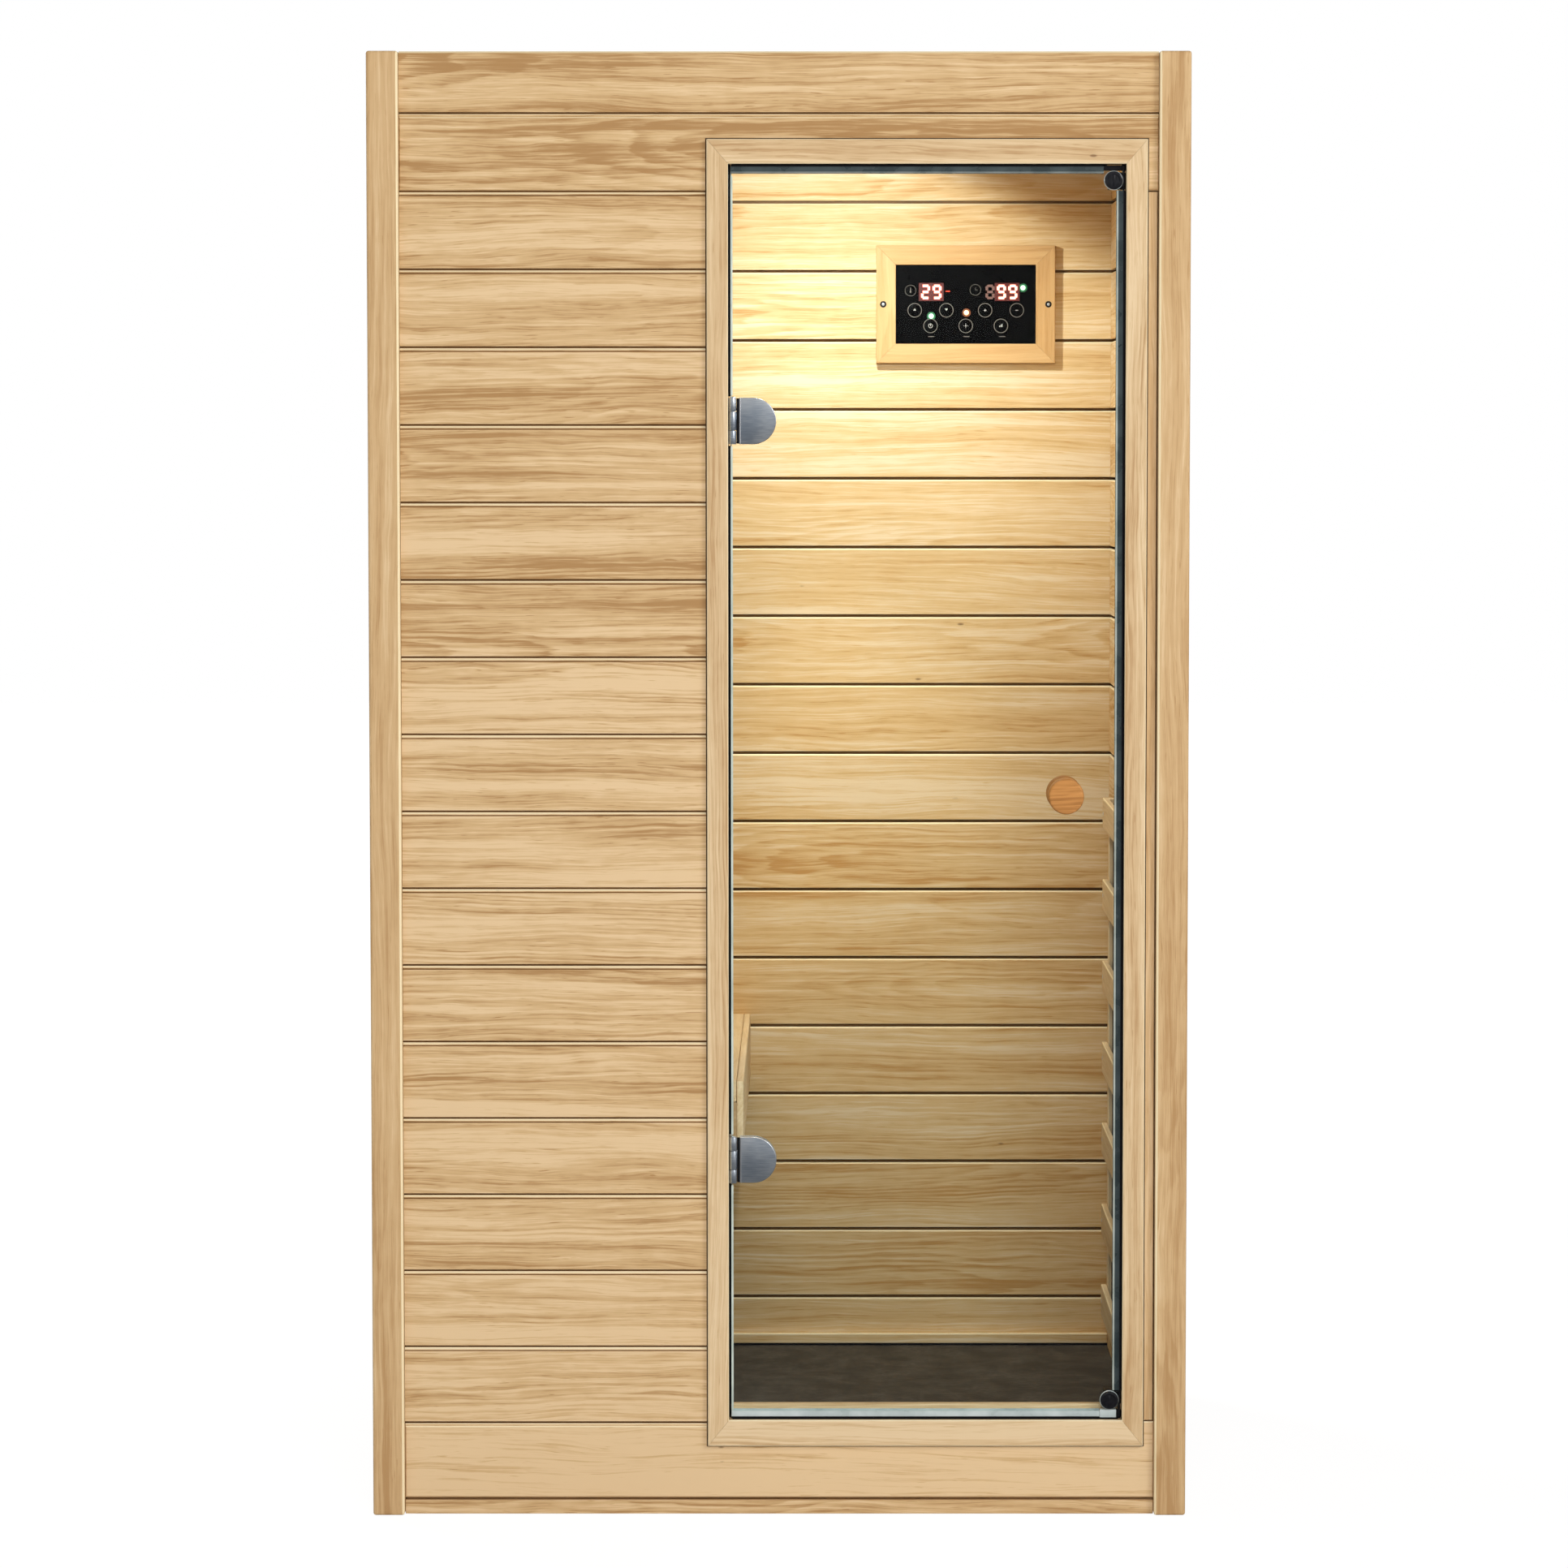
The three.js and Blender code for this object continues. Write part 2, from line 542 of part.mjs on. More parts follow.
// Ceiling and roof
function addRoof() {
  const boards = boardPanel(INNER_BOARD_THICKNESS - FIT, [frontInner + FIT, rearInner - FIT],
    CEILING_FIRST_JOINT, panelRun[1] - panelRun[0]);
  const origin = new THREE.Vector3(panelRun[0], 0, ceilingUnder + INNER_BOARD_THICKNESS - FIT);
  addFixed("ceiling_panel", paleWood(), aimed(boards, DOWN, TO_REAR, origin));

  const coverHalf = halfWidth - SIDE_SETBACK - BOARD_THICKNESS - FIT;
  const coverRise = [roofSeat + FIT, roofSeat + FIT + ROOF_COVER_THICKNESS];
  const wide = block([-coverHalf, coverHalf], [POST_DEPTH + FIT, rearPost - 2 * FIT], coverRise);
  const long = block(panelRun, [frontStud + FIT, rearStud - FIT], coverRise);
  const glandHole = rodAlongZ(GLAND_RADIUS + FIT, [roofSeat, CABIN_HEIGHT], glandX, glandY);
  addFixed("roof_cover", plainWood(), cut(join(wide, long), glandHole));
}

// Power box in the roof space, and the gland that its cord would leave by
const powerBoxRear = roomRear - POWER_BOX_FROM_REAR;
const glandX = POWER_BOX_FROM_CENTRE;
const glandY = powerBoxRear - POWER_BOX_SIZE.depth / 2;

function addPower() {
  const { width, depth } = POWER_BOX_SIZE;
  const across = [POWER_BOX_FROM_CENTRE - width / 2, POWER_BOX_FROM_CENTRE + width / 2];
  const box = block(across, [powerBoxRear - depth, powerBoxRear], [powerBoxBottom, powerBoxTop]);
  addFixed("power_box", paintedSteel(), box);
  const seat = roofSeat + 2 * FIT + ROOF_COVER_THICKNESS;
  const nutTop = seat + GLAND_NUT_HEIGHT;
  const nutRadius = GLAND_RADIUS + GLAND_NUT_RIM;
  const recessRadius = GLAND_RADIUS - GLAND_WALL;
  const gland = turnedShape([
    [0, powerBoxTop + FIT],
    [GLAND_RADIUS, powerBoxTop + FIT],
    [GLAND_RADIUS, seat],
    [nutRadius, seat],
    [nutRadius, nutTop],
    [recessRadius, nutTop],
    [recessRadius, nutTop - GLAND_RECESS_DEPTH],
    [0, nutTop - GLAND_RECESS_DEPTH],
  ]);
  addFixed("cord_gland", blackPlastic(), gland.rotateX(Math.PI / 2).translate(glandX, glandY, 0));
}

// Ceiling lamp: a lens held by the lip of a round bezel
function addLamp() {
  const seat = ceilingUnder - FIT;
  const lensTop = seat - LAMP_BACK_GAP;
  const lensUnder = lensTop - LAMP_LENS_THICKNESS;
  const lensSeat = lensUnder - FIT;
  const low = lensSeat - LAMP_LIP;
  const rim = LAMP_LENS_RADIUS + LAMP_RIM_WIDTH;
  const place = (geometry) =>
    geometry.rotateX(Math.PI / 2).translate(LAMP_FROM_CENTRE, roomRear - LAMP_FROM_REAR, 0);
  const bezel = turnedShape([
    [LAMP_LENS_RADIUS - LAMP_LIP, low],
    [rim - LAMP_LIP, low],
    [rim, lensSeat],
    [rim, seat],
    [LAMP_LENS_RADIUS, seat],
    [LAMP_LENS_RADIUS, lensSeat],
    [LAMP_LENS_RADIUS - LAMP_LIP, lensSeat],
    [LAMP_LENS_RADIUS - LAMP_LIP, low],
  ]);
  addFixed("lamp_bezel", satinSteel(), place(bezel));
  const lensRadius = LAMP_LENS_RADIUS - FIT;
  const lens = turnedShape([
    [0, lensUnder],
    [lensRadius, lensUnder],
    [lensRadius, lensTop],
    [0, lensTop],
  ]);
  addFixed("lamp_lens", opalPlastic(), place(lens));
}

// A heater sheet on a side wall, and the slatted guard over it
function addHeater(name, side, bottom, slats) {
  const across = (inner, outer) => [side * inner, side * outer].sort((a, b) => a - b);
  const wall = roomHalf - FIT;
  const face = roomHalf - HEATER_THICKNESS - GUARD_AIR_GAP - SLAT_THICKNESS;
  const top = bottom + (slats - 1) * SLAT_PITCH + SLAT_HEIGHT;
  const rear = roomRear - GUARD_END_MARGIN;
  const front = roomFront + GUARD_END_MARGIN;
  const sheetDepth = [front + BATTEN_WIDTH + HEATER_MARGIN, rear - BATTEN_WIDTH - HEATER_MARGIN];
  const sheet = block(across(wall - HEATER_THICKNESS, wall), sheetDepth,
    [bottom + HEATER_MARGIN, top - HEATER_MARGIN]);
  addFixed(`${name}_heater`, heaterSheet(), sheet);
  const battens = [front, rear - BATTEN_WIDTH].map((start) =>
    block(across(face + SLAT_THICKNESS / 2, wall), [start, start + BATTEN_WIDTH], [bottom, top]));
  const rows = Array.from({ length: slats }, (_, i) => bottom + i * SLAT_PITCH);
  const slatBlocks = rows.map((low) =>
    block(across(face, face + SLAT_THICKNESS), [front, rear], [low, low + SLAT_HEIGHT]));
  addFixed(`${name}_heater_guard`, paleWood(), join(...battens, ...slatBlocks));
}

// Bench: slatted seat on a frame of an apron and cross rails
function addBench() {
  const wall = -roomHalf + FIT;
  const edge = -roomHalf + BENCH_DEPTH;
  const seatEdge = edge - APRON_THICKNESS - FIT;
  const seatUnder = benchTop - SEAT_THICKNESS;
  const slatWidth = (seatEdge - wall - (SEAT_SLATS - 1) * SEAT_SLAT_GAP) / SEAT_SLATS;
  const slats = evenSpread([wall, seatEdge], SEAT_SLATS, slatWidth).map((start) =>
    block([start, start + slatWidth], roomDepth, [seatUnder, benchTop]));
  const rails = evenSpread(roomDepth, BENCH_RAILS, BENCH_RAIL_WIDTH);
  const bay = rails[1] - rails[0] - BENCH_RAIL_WIDTH;
  const battenStarts = [rails[0], rails[BENCH_RAILS - 2]].map((start) =>
    start + BENCH_RAIL_WIDTH + (bay - SEAT_BATTEN_WIDTH) / 2);
  const battens = battenStarts.map((start) =>
    block([wall, seatEdge], [start, start + SEAT_BATTEN_WIDTH],
      [seatUnder - SEAT_BATTEN_THICKNESS, seatUnder + OVERCUT]));
  addFixed("bench_seat", paleWood(), join(...slats, ...battens));

  const apron = block([edge - APRON_THICKNESS, edge], roomDepth, [benchTop - APRON_HEIGHT, benchTop]);
  const railRise = [seatUnder - FIT - BENCH_RAIL_HEIGHT, seatUnder - FIT];
  const railBlocks = rails.map((start) =>
    block([wall, edge - APRON_THICKNESS + OVERCUT], [start, start + BENCH_RAIL_WIDTH], railRise));
  addFixed("bench_frame", paleWood(), join(apron, ...railBlocks));
}

// Control panel: a timber bezel on the rear wall round a black unit with seven keys
const panelX = roomHalf - BEZEL_FROM_RIGHT_WALL - BEZEL_WIDTH / 2;
const panelZ = ceilingUnder - BEZEL_BELOW_CEILING - BEZEL_HEIGHT / 2;
const bezelFront = roomRear - FIT - BEZEL_DEPTH;
const windowHalf = BEZEL_WIDTH / 2 - BEZEL_BORDER_SIDE;
const windowHalfHeight = BEZEL_HEIGHT / 2 - BEZEL_BORDER_TOP;
const windowRun = [panelX - windowHalf, panelX + windowHalf];
const windowRise = [panelZ - windowHalfHeight, panelZ + windowHalfHeight];
const unitFront = bezelFront + BEZEL_LIP_DEPTH + FIT;

const keyReach = windowHalf - KEY_FROM_SIDE;
const lowerKeyRow = windowRise[0] + KEY_FROM_BOTTOM;
const keyRow = (spread, z) =>
  spread.map((share) => new THREE.Vector3(panelX + share * keyReach, unitFront, z));
const keyPlaces = [
  ...keyRow(UPPER_KEY_SPREAD, lowerKeyRow + KEY_ROW_PITCH),
  ...keyRow(LOWER_KEY_SPREAD, lowerKeyRow),
];

function addControlPanel() {
  const grown = ([low, high], by) => [low - by, high + by];
  const outline = rectangle(
    [panelX - BEZEL_WIDTH / 2, panelX + BEZEL_WIDTH / 2],
    [panelZ - BEZEL_HEIGHT / 2, panelZ + BEZEL_HEIGHT / 2],
  );
  outline.holes.push(rectangle(windowRun, windowRise, THREE.Path));
  const ring = frontPlate(outline, roomRear - FIT, BEZEL_DEPTH, BEZEL_CHAMFER);
  const rebate = block(grown(windowRun, BEZEL_REBATE), [bezelFront + BEZEL_LIP_DEPTH, roomRear + OVERCUT],
    grown(windowRise, BEZEL_REBATE));
  addFixed("control_bezel", paleWood(), cut(ring, rebate));

  const body = block(grown(windowRun, BEZEL_REBATE - FIT), [unitFront, roomRear - FIT],
    grown(windowRise, BEZEL_REBATE - FIT));
  const pocketDepth = KEY_THICKNESS - KEY_PROUD + KEY_TRAVEL + KEY_CLEARANCE;
  const pocketRun = [unitFront - OVERCUT, unitFront + pocketDepth];
  const pocketRadius = KEY_RADIUS + KEY_CLEARANCE;
  const pockets = keyPlaces.map((place) => rodAlongY(pocketRadius, pocketRun, place.x, place.z));
  addFixed("control_unit", glossBlack(), cut(body, ...pockets));

  keyPlaces.forEach((place, i) => {
    const cap = rodAlongY(KEY_RADIUS, [-KEY_PROUD, KEY_THICKNESS - KEY_PROUD], 0, 0);
    const key = addFixed(`control_key_${i + 1}`, glossBlack(), cap);
    key.position.copy(place);
  });
}

// Bore for the hinge pin through the knuckles
function pinBore([low, high]) {
  return rodAlongZ(PIN_RADIUS + PIN_CLEARANCE, [low - OVERCUT, high + OVERCUT], hingeX, hingeY);
}

// Hinge leaf on the door frame: a plate with the two outer knuckles, and the pin in them
function addHingeOnFrame(name, middle) {
  const halfHeight = HINGE_HEIGHT / 2;
  const halfMiddle = MIDDLE_KNUCKLE_HEIGHT / 2;
  const leafRun = [doorwayLeft + FIT, doorwayLeft + FIT + LEAF_THICKNESS];
  const plateFront = hingeY + KNUCKLE_RADIUS + KNUCKLE_GAP;
  const rise = [middle - halfHeight, middle + halfHeight];
  const plate = block(leafRun, [plateFront, plateFront + LEAF_DEPTH], rise);
  const ends = [
    [rise[0], middle - halfMiddle - KNUCKLE_GAP],
    [middle + halfMiddle + KNUCKLE_GAP, rise[1]],
  ];
  const tabs = ends.map((end) => block(leafRun, [hingeY, plateFront + OVERCUT], end));
  const necks = ends.map((end) => block([leafRun[0], hingeX], [hingeY, hingeY + LEAF_THICKNESS], end));
  const knuckles = ends.map((end) => rodAlongZ(KNUCKLE_RADIUS, end, hingeX, hingeY));
  const leaf = join(plate, ...tabs, ...necks, ...knuckles);
  addFixed(`${name}_hinge_jamb_leaf`, satinSteel(), cut(leaf, pinBore(rise)));
  addFixed(`${name}_hinge_pin`, satinSteel(), rodAlongZ(PIN_RADIUS, rise, hingeX, hingeY));
}

const plateLeft = hingeX + KNUCKLE_RADIUS + PLATE_KNUCKLE_GAP;
const bossX = plateLeft + PLATE_WIDTH / 2;
const bossReach = HINGE_HEIGHT / 2 - PLATE_BOSS_FROM_END;
const bossHeights = (middle) => [middle - bossReach, middle + bossReach];

// D-shaped hinge plate: flat towards the hinge axis and round at the far end
function hingePlate(middle, back) {
  const radius = HINGE_HEIGHT / 2;
  const centre = plateLeft + PLATE_WIDTH - radius;
  const outline = new THREE.Shape();
  outline.moveTo(plateLeft, middle - radius);
  outline.lineTo(centre, middle - radius);
  outline.absarc(centre, middle, radius, -Math.PI / 2, Math.PI / 2, false);
  outline.lineTo(plateLeft, middle + radius);
  outline.closePath();
  return frontPlate(outline, back, PLATE_THICKNESS, PLATE_CHAMFER);
}

// The front plate carries the middle knuckle and reaches through the glass to the back plate
function addHingeOnGlass(name, middle) {
  const halfMiddle = MIDDLE_KNUCKLE_HEIGHT / 2;
  const rise = [middle - halfMiddle, middle + halfMiddle];
  const knuckle = rodAlongZ(KNUCKLE_RADIUS, rise, hingeX, hingeY);
  const plateBack = glassFront - FIT;
  const webDepth = [plateBack - PLATE_THICKNESS + PLATE_CHAMFER, plateBack - PLATE_CHAMFER];
  const web = block([hingeX + PIN_RADIUS, plateLeft + PLATE_CHAMFER + OVERCUT], webDepth, rise);
  const bosses = bossHeights(middle).map((z) =>
    rodAlongY(PLATE_BOSS_RADIUS, [plateBack - OVERCUT, glassBack], bossX, z));
  const plate = join(hingePlate(middle, plateBack), knuckle, web, ...bosses);
  addToDoor(`${name}_hinge_front_plate`, satinSteel(), cut(plate, pinBore(rise)));
  const back = hingePlate(middle, glassBack + FIT + PLATE_THICKNESS);
  addToDoor(`${name}_hinge_back_plate`, satinSteel(), back);
}

// Glass with holes for the hinges, the knob and the catches
function addGlass() {
  const pane = block([glassLeft, glassRight], [glassFront, glassBack], [glassBottom, glassTop]);
  const through = [glassFront - OVERCUT, glassBack + OVERCUT];
  const hingeHoles = Object.values(hingeHeights).flatMap(bossHeights).map((z) =>
    rodAlongY(PLATE_BOSS_RADIUS + GLASS_HOLE_CLEARANCE, through, bossX, z));
  const catchHoles = Object.values(strikerHeights).map((z) =>
    rodAlongY(STRIKER_STUD_RADIUS + GLASS_HOLE_CLEARANCE, through, strikerX, z));
  const knobHole = rodAlongY(BOLT_RADIUS + GLASS_HOLE_CLEARANCE, through, knobX, knobZ);
  const glass = cut(pane, ...hingeHoles, ...catchHoles, knobHole);
  addToDoor("door_glass", clearGlass(), glass);
}

// Channel-shaped seal, drawn with its mouth towards -X, Y through the glass and Z along the edge
function sealLength(length) {
  const inner = GLASS_THICKNESS / 2 + FIT;
  const outer = inner + SEAL_WALL;
  const outline = new THREE.Shape();
  outline.moveTo(-SEAL_LEG, inner);
  outline.lineTo(FIT, inner);
  outline.lineTo(FIT, -inner);
  outline.lineTo(-SEAL_LEG, -inner);
  outline.lineTo(-SEAL_LEG, -outer);
  outline.lineTo(FIT + SEAL_WALL, -outer);
  outline.lineTo(FIT + SEAL_WALL, outer);
  outline.lineTo(-SEAL_LEG, outer);
  outline.closePath();
  return new THREE.ExtrudeGeometry(outline, { depth: length, bevelEnabled: false });
}

function addSeals() {
  const middle = (glassFront + glassBack) / 2;
  const reach = STRIKER_RADIUS + FIT;
  const low = strikerHeights.bottom + reach;
  const high = strikerHeights.top - reach;
  const across = strikerX - reach - glassLeft - FIT;
  const side = aimed(sealLength(high - low), TO_RIGHT, TO_REAR, new THREE.Vector3(glassRight, middle, low));
  addToDoor("seal_side", clearPlastic(), side);
  const topFrom = new THREE.Vector3(glassLeft + FIT, middle, glassTop);
  addToDoor("seal_top", clearPlastic(), aimed(sealLength(across), UP, TO_FRONT, topFrom));
  const bottomFrom = new THREE.Vector3(glassLeft + FIT, middle, glassBottom);
  addToDoor("seal_bottom", clearPlastic(), aimed(sealLength(across), DOWN, TO_REAR, bottomFrom));
}

// Knobs on both faces of the glass, on one bolt
function knobShape() {
  const edge = Array.from({ length: KNOB_EDGE_STEPS + 1 }, (_, i) => {
    const angle = (i * Math.PI) / 2 / KNOB_EDGE_STEPS;
    const r = KNOB_RADIUS - KNOB_EDGE_RADIUS * (1 - Math.cos(angle));
    return [r, KNOB_LENGTH - KNOB_EDGE_RADIUS * (1 - Math.sin(angle))];
  });
  const bore = BOLT_RADIUS + BOLT_CLEARANCE;
  const boreEnd = KNOB_LENGTH - KNOB_END_WALL;
  const foot = [[0, boreEnd], [bore, boreEnd], [bore, 0], [KNOB_RADIUS, 0]];
  return turnedShape([...foot, ...edge, [0, KNOB_LENGTH]]);
}

function addKnobs() {
  const outer = knobShape().rotateZ(Math.PI).translate(knobX, glassFront - FIT, knobZ);
  addToDoor("outer_knob", knobWood(), outer);
  addToDoor("inner_knob", knobWood(), knobShape().translate(knobX, glassBack + FIT, knobZ));
  const reach = KNOB_LENGTH - KNOB_END_WALL - BOLT_CLEARANCE;
  const bolt = rodAlongY(BOLT_RADIUS, [glassFront - reach, glassBack + reach], knobX, knobZ);
  addToDoor("knob_bolt", satinSteel(), bolt);
}

// Catches: a striker through the glass at each free corner, and a magnet on the door frame behind it
function addCatches() {
  for (const [name, z] of Object.entries(strikerHeights)) {
    const front = -STRIKER_THICKNESS - FIT;
    const back = GLASS_THICKNESS + FIT;
    const striker = turnedShape([
      [0, front],
      [STRIKER_RADIUS - STRIKER_CHAMFER, front],
      [STRIKER_RADIUS, front + STRIKER_CHAMFER],
      [STRIKER_RADIUS, -FIT],
      [STRIKER_STUD_RADIUS, -FIT],
      [STRIKER_STUD_RADIUS, back],
      [STRIKER_BACK_RADIUS, back],
      [STRIKER_BACK_RADIUS, back + STRIKER_BACK_THICKNESS],
      [0, back + STRIKER_BACK_THICKNESS],
    ]);
    addToDoor(`${name}_striker`, blackPlastic(), striker.translate(strikerX, glassFront, z));
    const magnetFront = glassBack + 2 * FIT + STRIKER_BACK_THICKNESS;
    const rise = name === "bottom"
      ? [stopTop + FIT, z + MAGNET_HEIGHT / 2]
      : [z - MAGNET_HEIGHT / 2, z + MAGNET_HEIGHT / 2];
    const magnet = block([doorwayRight - FIT - MAGNET_WIDTH, doorwayRight - FIT],
      [magnetFront, magnetFront + MAGNET_DEPTH], rise);
    addFixed(`${name}_magnet`, blackPlastic(), magnet);
  }
}

addFloor();
addWalls();
addFrontWall();
addDoorFrame();
addCasing();
addRoof();
addPower();
addLamp();
addHeater("right", 1, matTop + RIGHT_GUARD_ABOVE_MAT, RIGHT_GUARD_SLATS);
addHeater("back", -1, benchTop + BACK_GUARD_ABOVE_BENCH, BACK_GUARD_SLATS);
addBench();
addControlPanel();
addGlass();
addSeals();
addKnobs();
addCatches();
for (const [name, middle] of Object.entries(hingeHeights)) {
  addHingeOnFrame(name, middle);
  addHingeOnGlass(name, middle);
}

// The origin is on the floor, under the middle of the box that the cabin and its knob fill
const foremost = glassFront - FIT - KNOB_LENGTH;
const sauna = new THREE.Group();
sauna.name = "sauna_cabin";
cabin.position.y = -(foremost + CABIN_DEPTH) / 2;
sauna.add(cabin);

export default sauna;
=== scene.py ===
"""Infrared sauna cabin: its boards, trim, glass door, bench and control panel, finished for rendering.

Metres, +Z up. The front with the door faces -Y, and +X is to the right of someone who faces it.
"""
import json
import math
import random

import bmesh
import bpy
from mathutils import Matrix, Vector


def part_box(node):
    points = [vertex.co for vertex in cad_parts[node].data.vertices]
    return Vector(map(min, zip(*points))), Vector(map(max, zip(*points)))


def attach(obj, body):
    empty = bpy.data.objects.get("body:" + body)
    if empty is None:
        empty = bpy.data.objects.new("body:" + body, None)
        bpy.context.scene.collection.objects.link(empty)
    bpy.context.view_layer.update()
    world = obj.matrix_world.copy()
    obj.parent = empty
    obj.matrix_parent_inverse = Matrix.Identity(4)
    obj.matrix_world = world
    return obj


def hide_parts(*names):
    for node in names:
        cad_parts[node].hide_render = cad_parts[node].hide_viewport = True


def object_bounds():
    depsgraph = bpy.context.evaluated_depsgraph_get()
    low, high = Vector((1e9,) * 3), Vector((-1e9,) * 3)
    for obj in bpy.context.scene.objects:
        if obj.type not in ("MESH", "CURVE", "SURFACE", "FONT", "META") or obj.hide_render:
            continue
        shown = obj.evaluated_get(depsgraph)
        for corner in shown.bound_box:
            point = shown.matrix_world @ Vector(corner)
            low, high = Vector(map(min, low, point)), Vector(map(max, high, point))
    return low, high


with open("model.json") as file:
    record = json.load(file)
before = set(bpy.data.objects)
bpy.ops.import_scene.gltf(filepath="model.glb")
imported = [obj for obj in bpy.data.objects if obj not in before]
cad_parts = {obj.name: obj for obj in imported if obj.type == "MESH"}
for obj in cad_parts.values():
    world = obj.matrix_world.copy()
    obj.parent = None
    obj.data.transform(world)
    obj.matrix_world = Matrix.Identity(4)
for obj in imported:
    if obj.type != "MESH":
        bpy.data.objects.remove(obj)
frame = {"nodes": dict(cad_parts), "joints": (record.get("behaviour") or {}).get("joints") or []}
CAD_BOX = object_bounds()
MM = 0.001

X_AXIS = Vector((1, 0, 0))
Y_AXIS = Vector((0, 1, 0))
Z_AXIS = Vector((0, 0, 1))

# Boards
BOARD_PITCH = 100 * MM
FIRST_INNER_JOINT = 148 * MM
CEILING_JOINT = -349.85 * MM
CLADDING_THICKNESS = 10 * MM
JOINT_GAP = 2.4 * MM
LINING_GAP = 4.0 * MM
JOINT_DEPTH = 7.5 * MM
UPPER_CHAMFER = 2.2 * MM
LOWER_CHAMFER = 0.6 * MM
BEAD = 3.3 * MM
QUIRK = 1.7 * MM
QUIRK_DEPTH = 3.0 * MM
HAIRLINE = 0.03 * MM
FIT = 0.3 * MM

# Edges of sawn and planed timber
POST_EDGE = 3.0 * MM
CASING_EDGE = 1.9 * MM
SLAT_EDGE = 1.5 * MM
SAWN_EDGE = 0.8 * MM
MITRE_GAP = 0.15 * MM

# Bench, guards and floor
SEAT_SLATS = 5
SEAT_SLAT_GAP = 8 * MM
SEAT_THICKNESS = 28 * MM
SEAT_BATTEN_WIDTH = 40 * MM
APRON_THICKNESS = 9 * MM
BENCH_RAILS = 5
BENCH_RAIL_WIDTH = 30 * MM
BENCH_RAIL_HEIGHT = 46 * MM
GUARD_SLAT_HEIGHT = 44 * MM
GUARD_SLAT_PITCH = 117 * MM
GUARD_SLAT_THICKNESS = 8 * MM
GUARD_BATTEN_WIDTH = 30 * MM
BASE_THICKNESS = 18 * MM
JOIST_WIDTH = 60 * MM

# Painted shadow line round the casing, drawn as a thin dark strip
CASING_SHADOW_WIDTH = 1.7 * MM

# Hinges
KNUCKLE_RADIUS = 4.75 * MM
KNUCKLE_GAP = 0.6 * MM
MIDDLE_KNUCKLE_HEIGHT = 24 * MM
PLATE_THICKNESS = 5 * MM
PLATE_EDGE = 0.9 * MM
PLATE_ARC_STEPS = 28
LEAF_THICKNESS = 2 * MM
SCREW_RADIUS = 3.4 * MM

# Door glass and its seals
# EDGE_STRIP is the width of the strip painted along the glass's hinge edge as a highlight
EDGE_STRIP = 2.9 * MM
SEAL_WALL = 1.4 * MM
SEAL_LIP = 2.3 * MM
SEAL_BULB = 2.1 * MM

# Control panel
BEZEL_BORDER = 28 * MM
BEZEL_EDGE = 1.2 * MM
PRINT_THICKNESS = 0.12 * MM
DIGIT_HEIGHT = 21 * MM
DIGIT_WIDTH = 13 * MM
DIGIT_STEP = 16.5 * MM
SEGMENT_WIDTH = 3.6 * MM
KEY_RING_RADIUS = 9.5 * MM
KEY_RING_WIDTH = 0.8 * MM

# Camera, from the photograph's perspective
CAMERA_FROM_POSTS = 6.52
CAMERA_SIDE = 0.040
CAMERA_HEIGHT = 1.400
CAMERA_TILT = math.radians(3.529)
CAMERA_LENS = 115.945
CAMERA_SHIFT = (-0.0165, -0.020)

# Studio light
SKY_LIGHT = 0.27
MIRRORED_SKY = 0.40
MIRRORED_FLOOR = 0.14
NEAR_FLOOR_WHITE = 1.08
FAR_FLOOR_WHITE = 1.18
FLOOR_SHARE = 0.86
KEY_POWER = 181
FILL_POWER = 151
BACK_FILL_POWER = 260
LAMP_POWER = 7.7
LAMP_DISC_POWER = 3.0
LAMP_BEAM_POWER = 20.0
LAMP_COLOUR = (0.92, 0.98, 0.97)
BEAM_COLOUR = (1.0, 0.90, 0.70)
LAMP_AIM = (-0.14, 0.63, -0.764)
LAMP_SPREAD = math.radians(128)
BEAM_AIM = (0.0, 0.22, -0.975)
BEAM_SPREAD = math.radians(46)


# Measures taken from the frame
def box(node):
    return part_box(node)


def middle(node):
    low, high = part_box(node)
    return (low + high) / 2


# Mesh work
def start_piece():
    bm = bmesh.new()
    bm.verts.layers.float_vector.new("grain")
    bm.verts.layers.float.new("board")
    return bm


def lay_grain(bm, along, through, chance, tone=None):
    """Gives the vertices added last their place in a timber of their own, which the wood finish reads."""
    grain = bm.verts.layers.float_vector["grain"]
    board = bm.verts.layers.float["board"]
    fresh = [v for v in bm.verts if v[board] == 0]
    centre = sum((v.co for v in fresh), Vector()) / len(fresh)
    across = through.cross(along)
    start = chance.uniform(0, 40)
    aside = chance.uniform(-0.07, 0.07)
    pith = chance.uniform(0.012, 0.085)
    number = chance.uniform(0.05, 1)
    if tone is not None:
        number = min(1, max(-0.6, tone + 0.4 * (number - 0.5)))
    for v in fresh:
        place = v.co - centre
        v[grain] = (place.dot(along) + start, place.dot(across) + aside, place.dot(through) + pith)
        v[board] = number


def soften(bm, edges, width, steps=2):
    bmesh.ops.bevel(bm, geom=list(edges), offset=width, offset_type="OFFSET", segments=steps,
                    profile=0.5, affect="EDGES", material=-1)


def add_block(bm, low, high, edge, steps=2):
    """A block between two corners, with its edges eased."""
    made = bmesh.ops.create_cube(bm, size=1)["verts"]
    low, high = Vector(low), Vector(high)
    bmesh.ops.scale(bm, vec=high - low, verts=made)
    bmesh.ops.translate(bm, vec=(low + high) / 2, verts=made)
    if edge:
        soften(bm, {e for v in made for e in v.link_edges}, edge, steps)


def add_timber(bm, low, high, along, through, chance, edge=SAWN_EDGE):
    add_block(bm, low, high, edge)
    lay_grain(bm, along, through, chance)


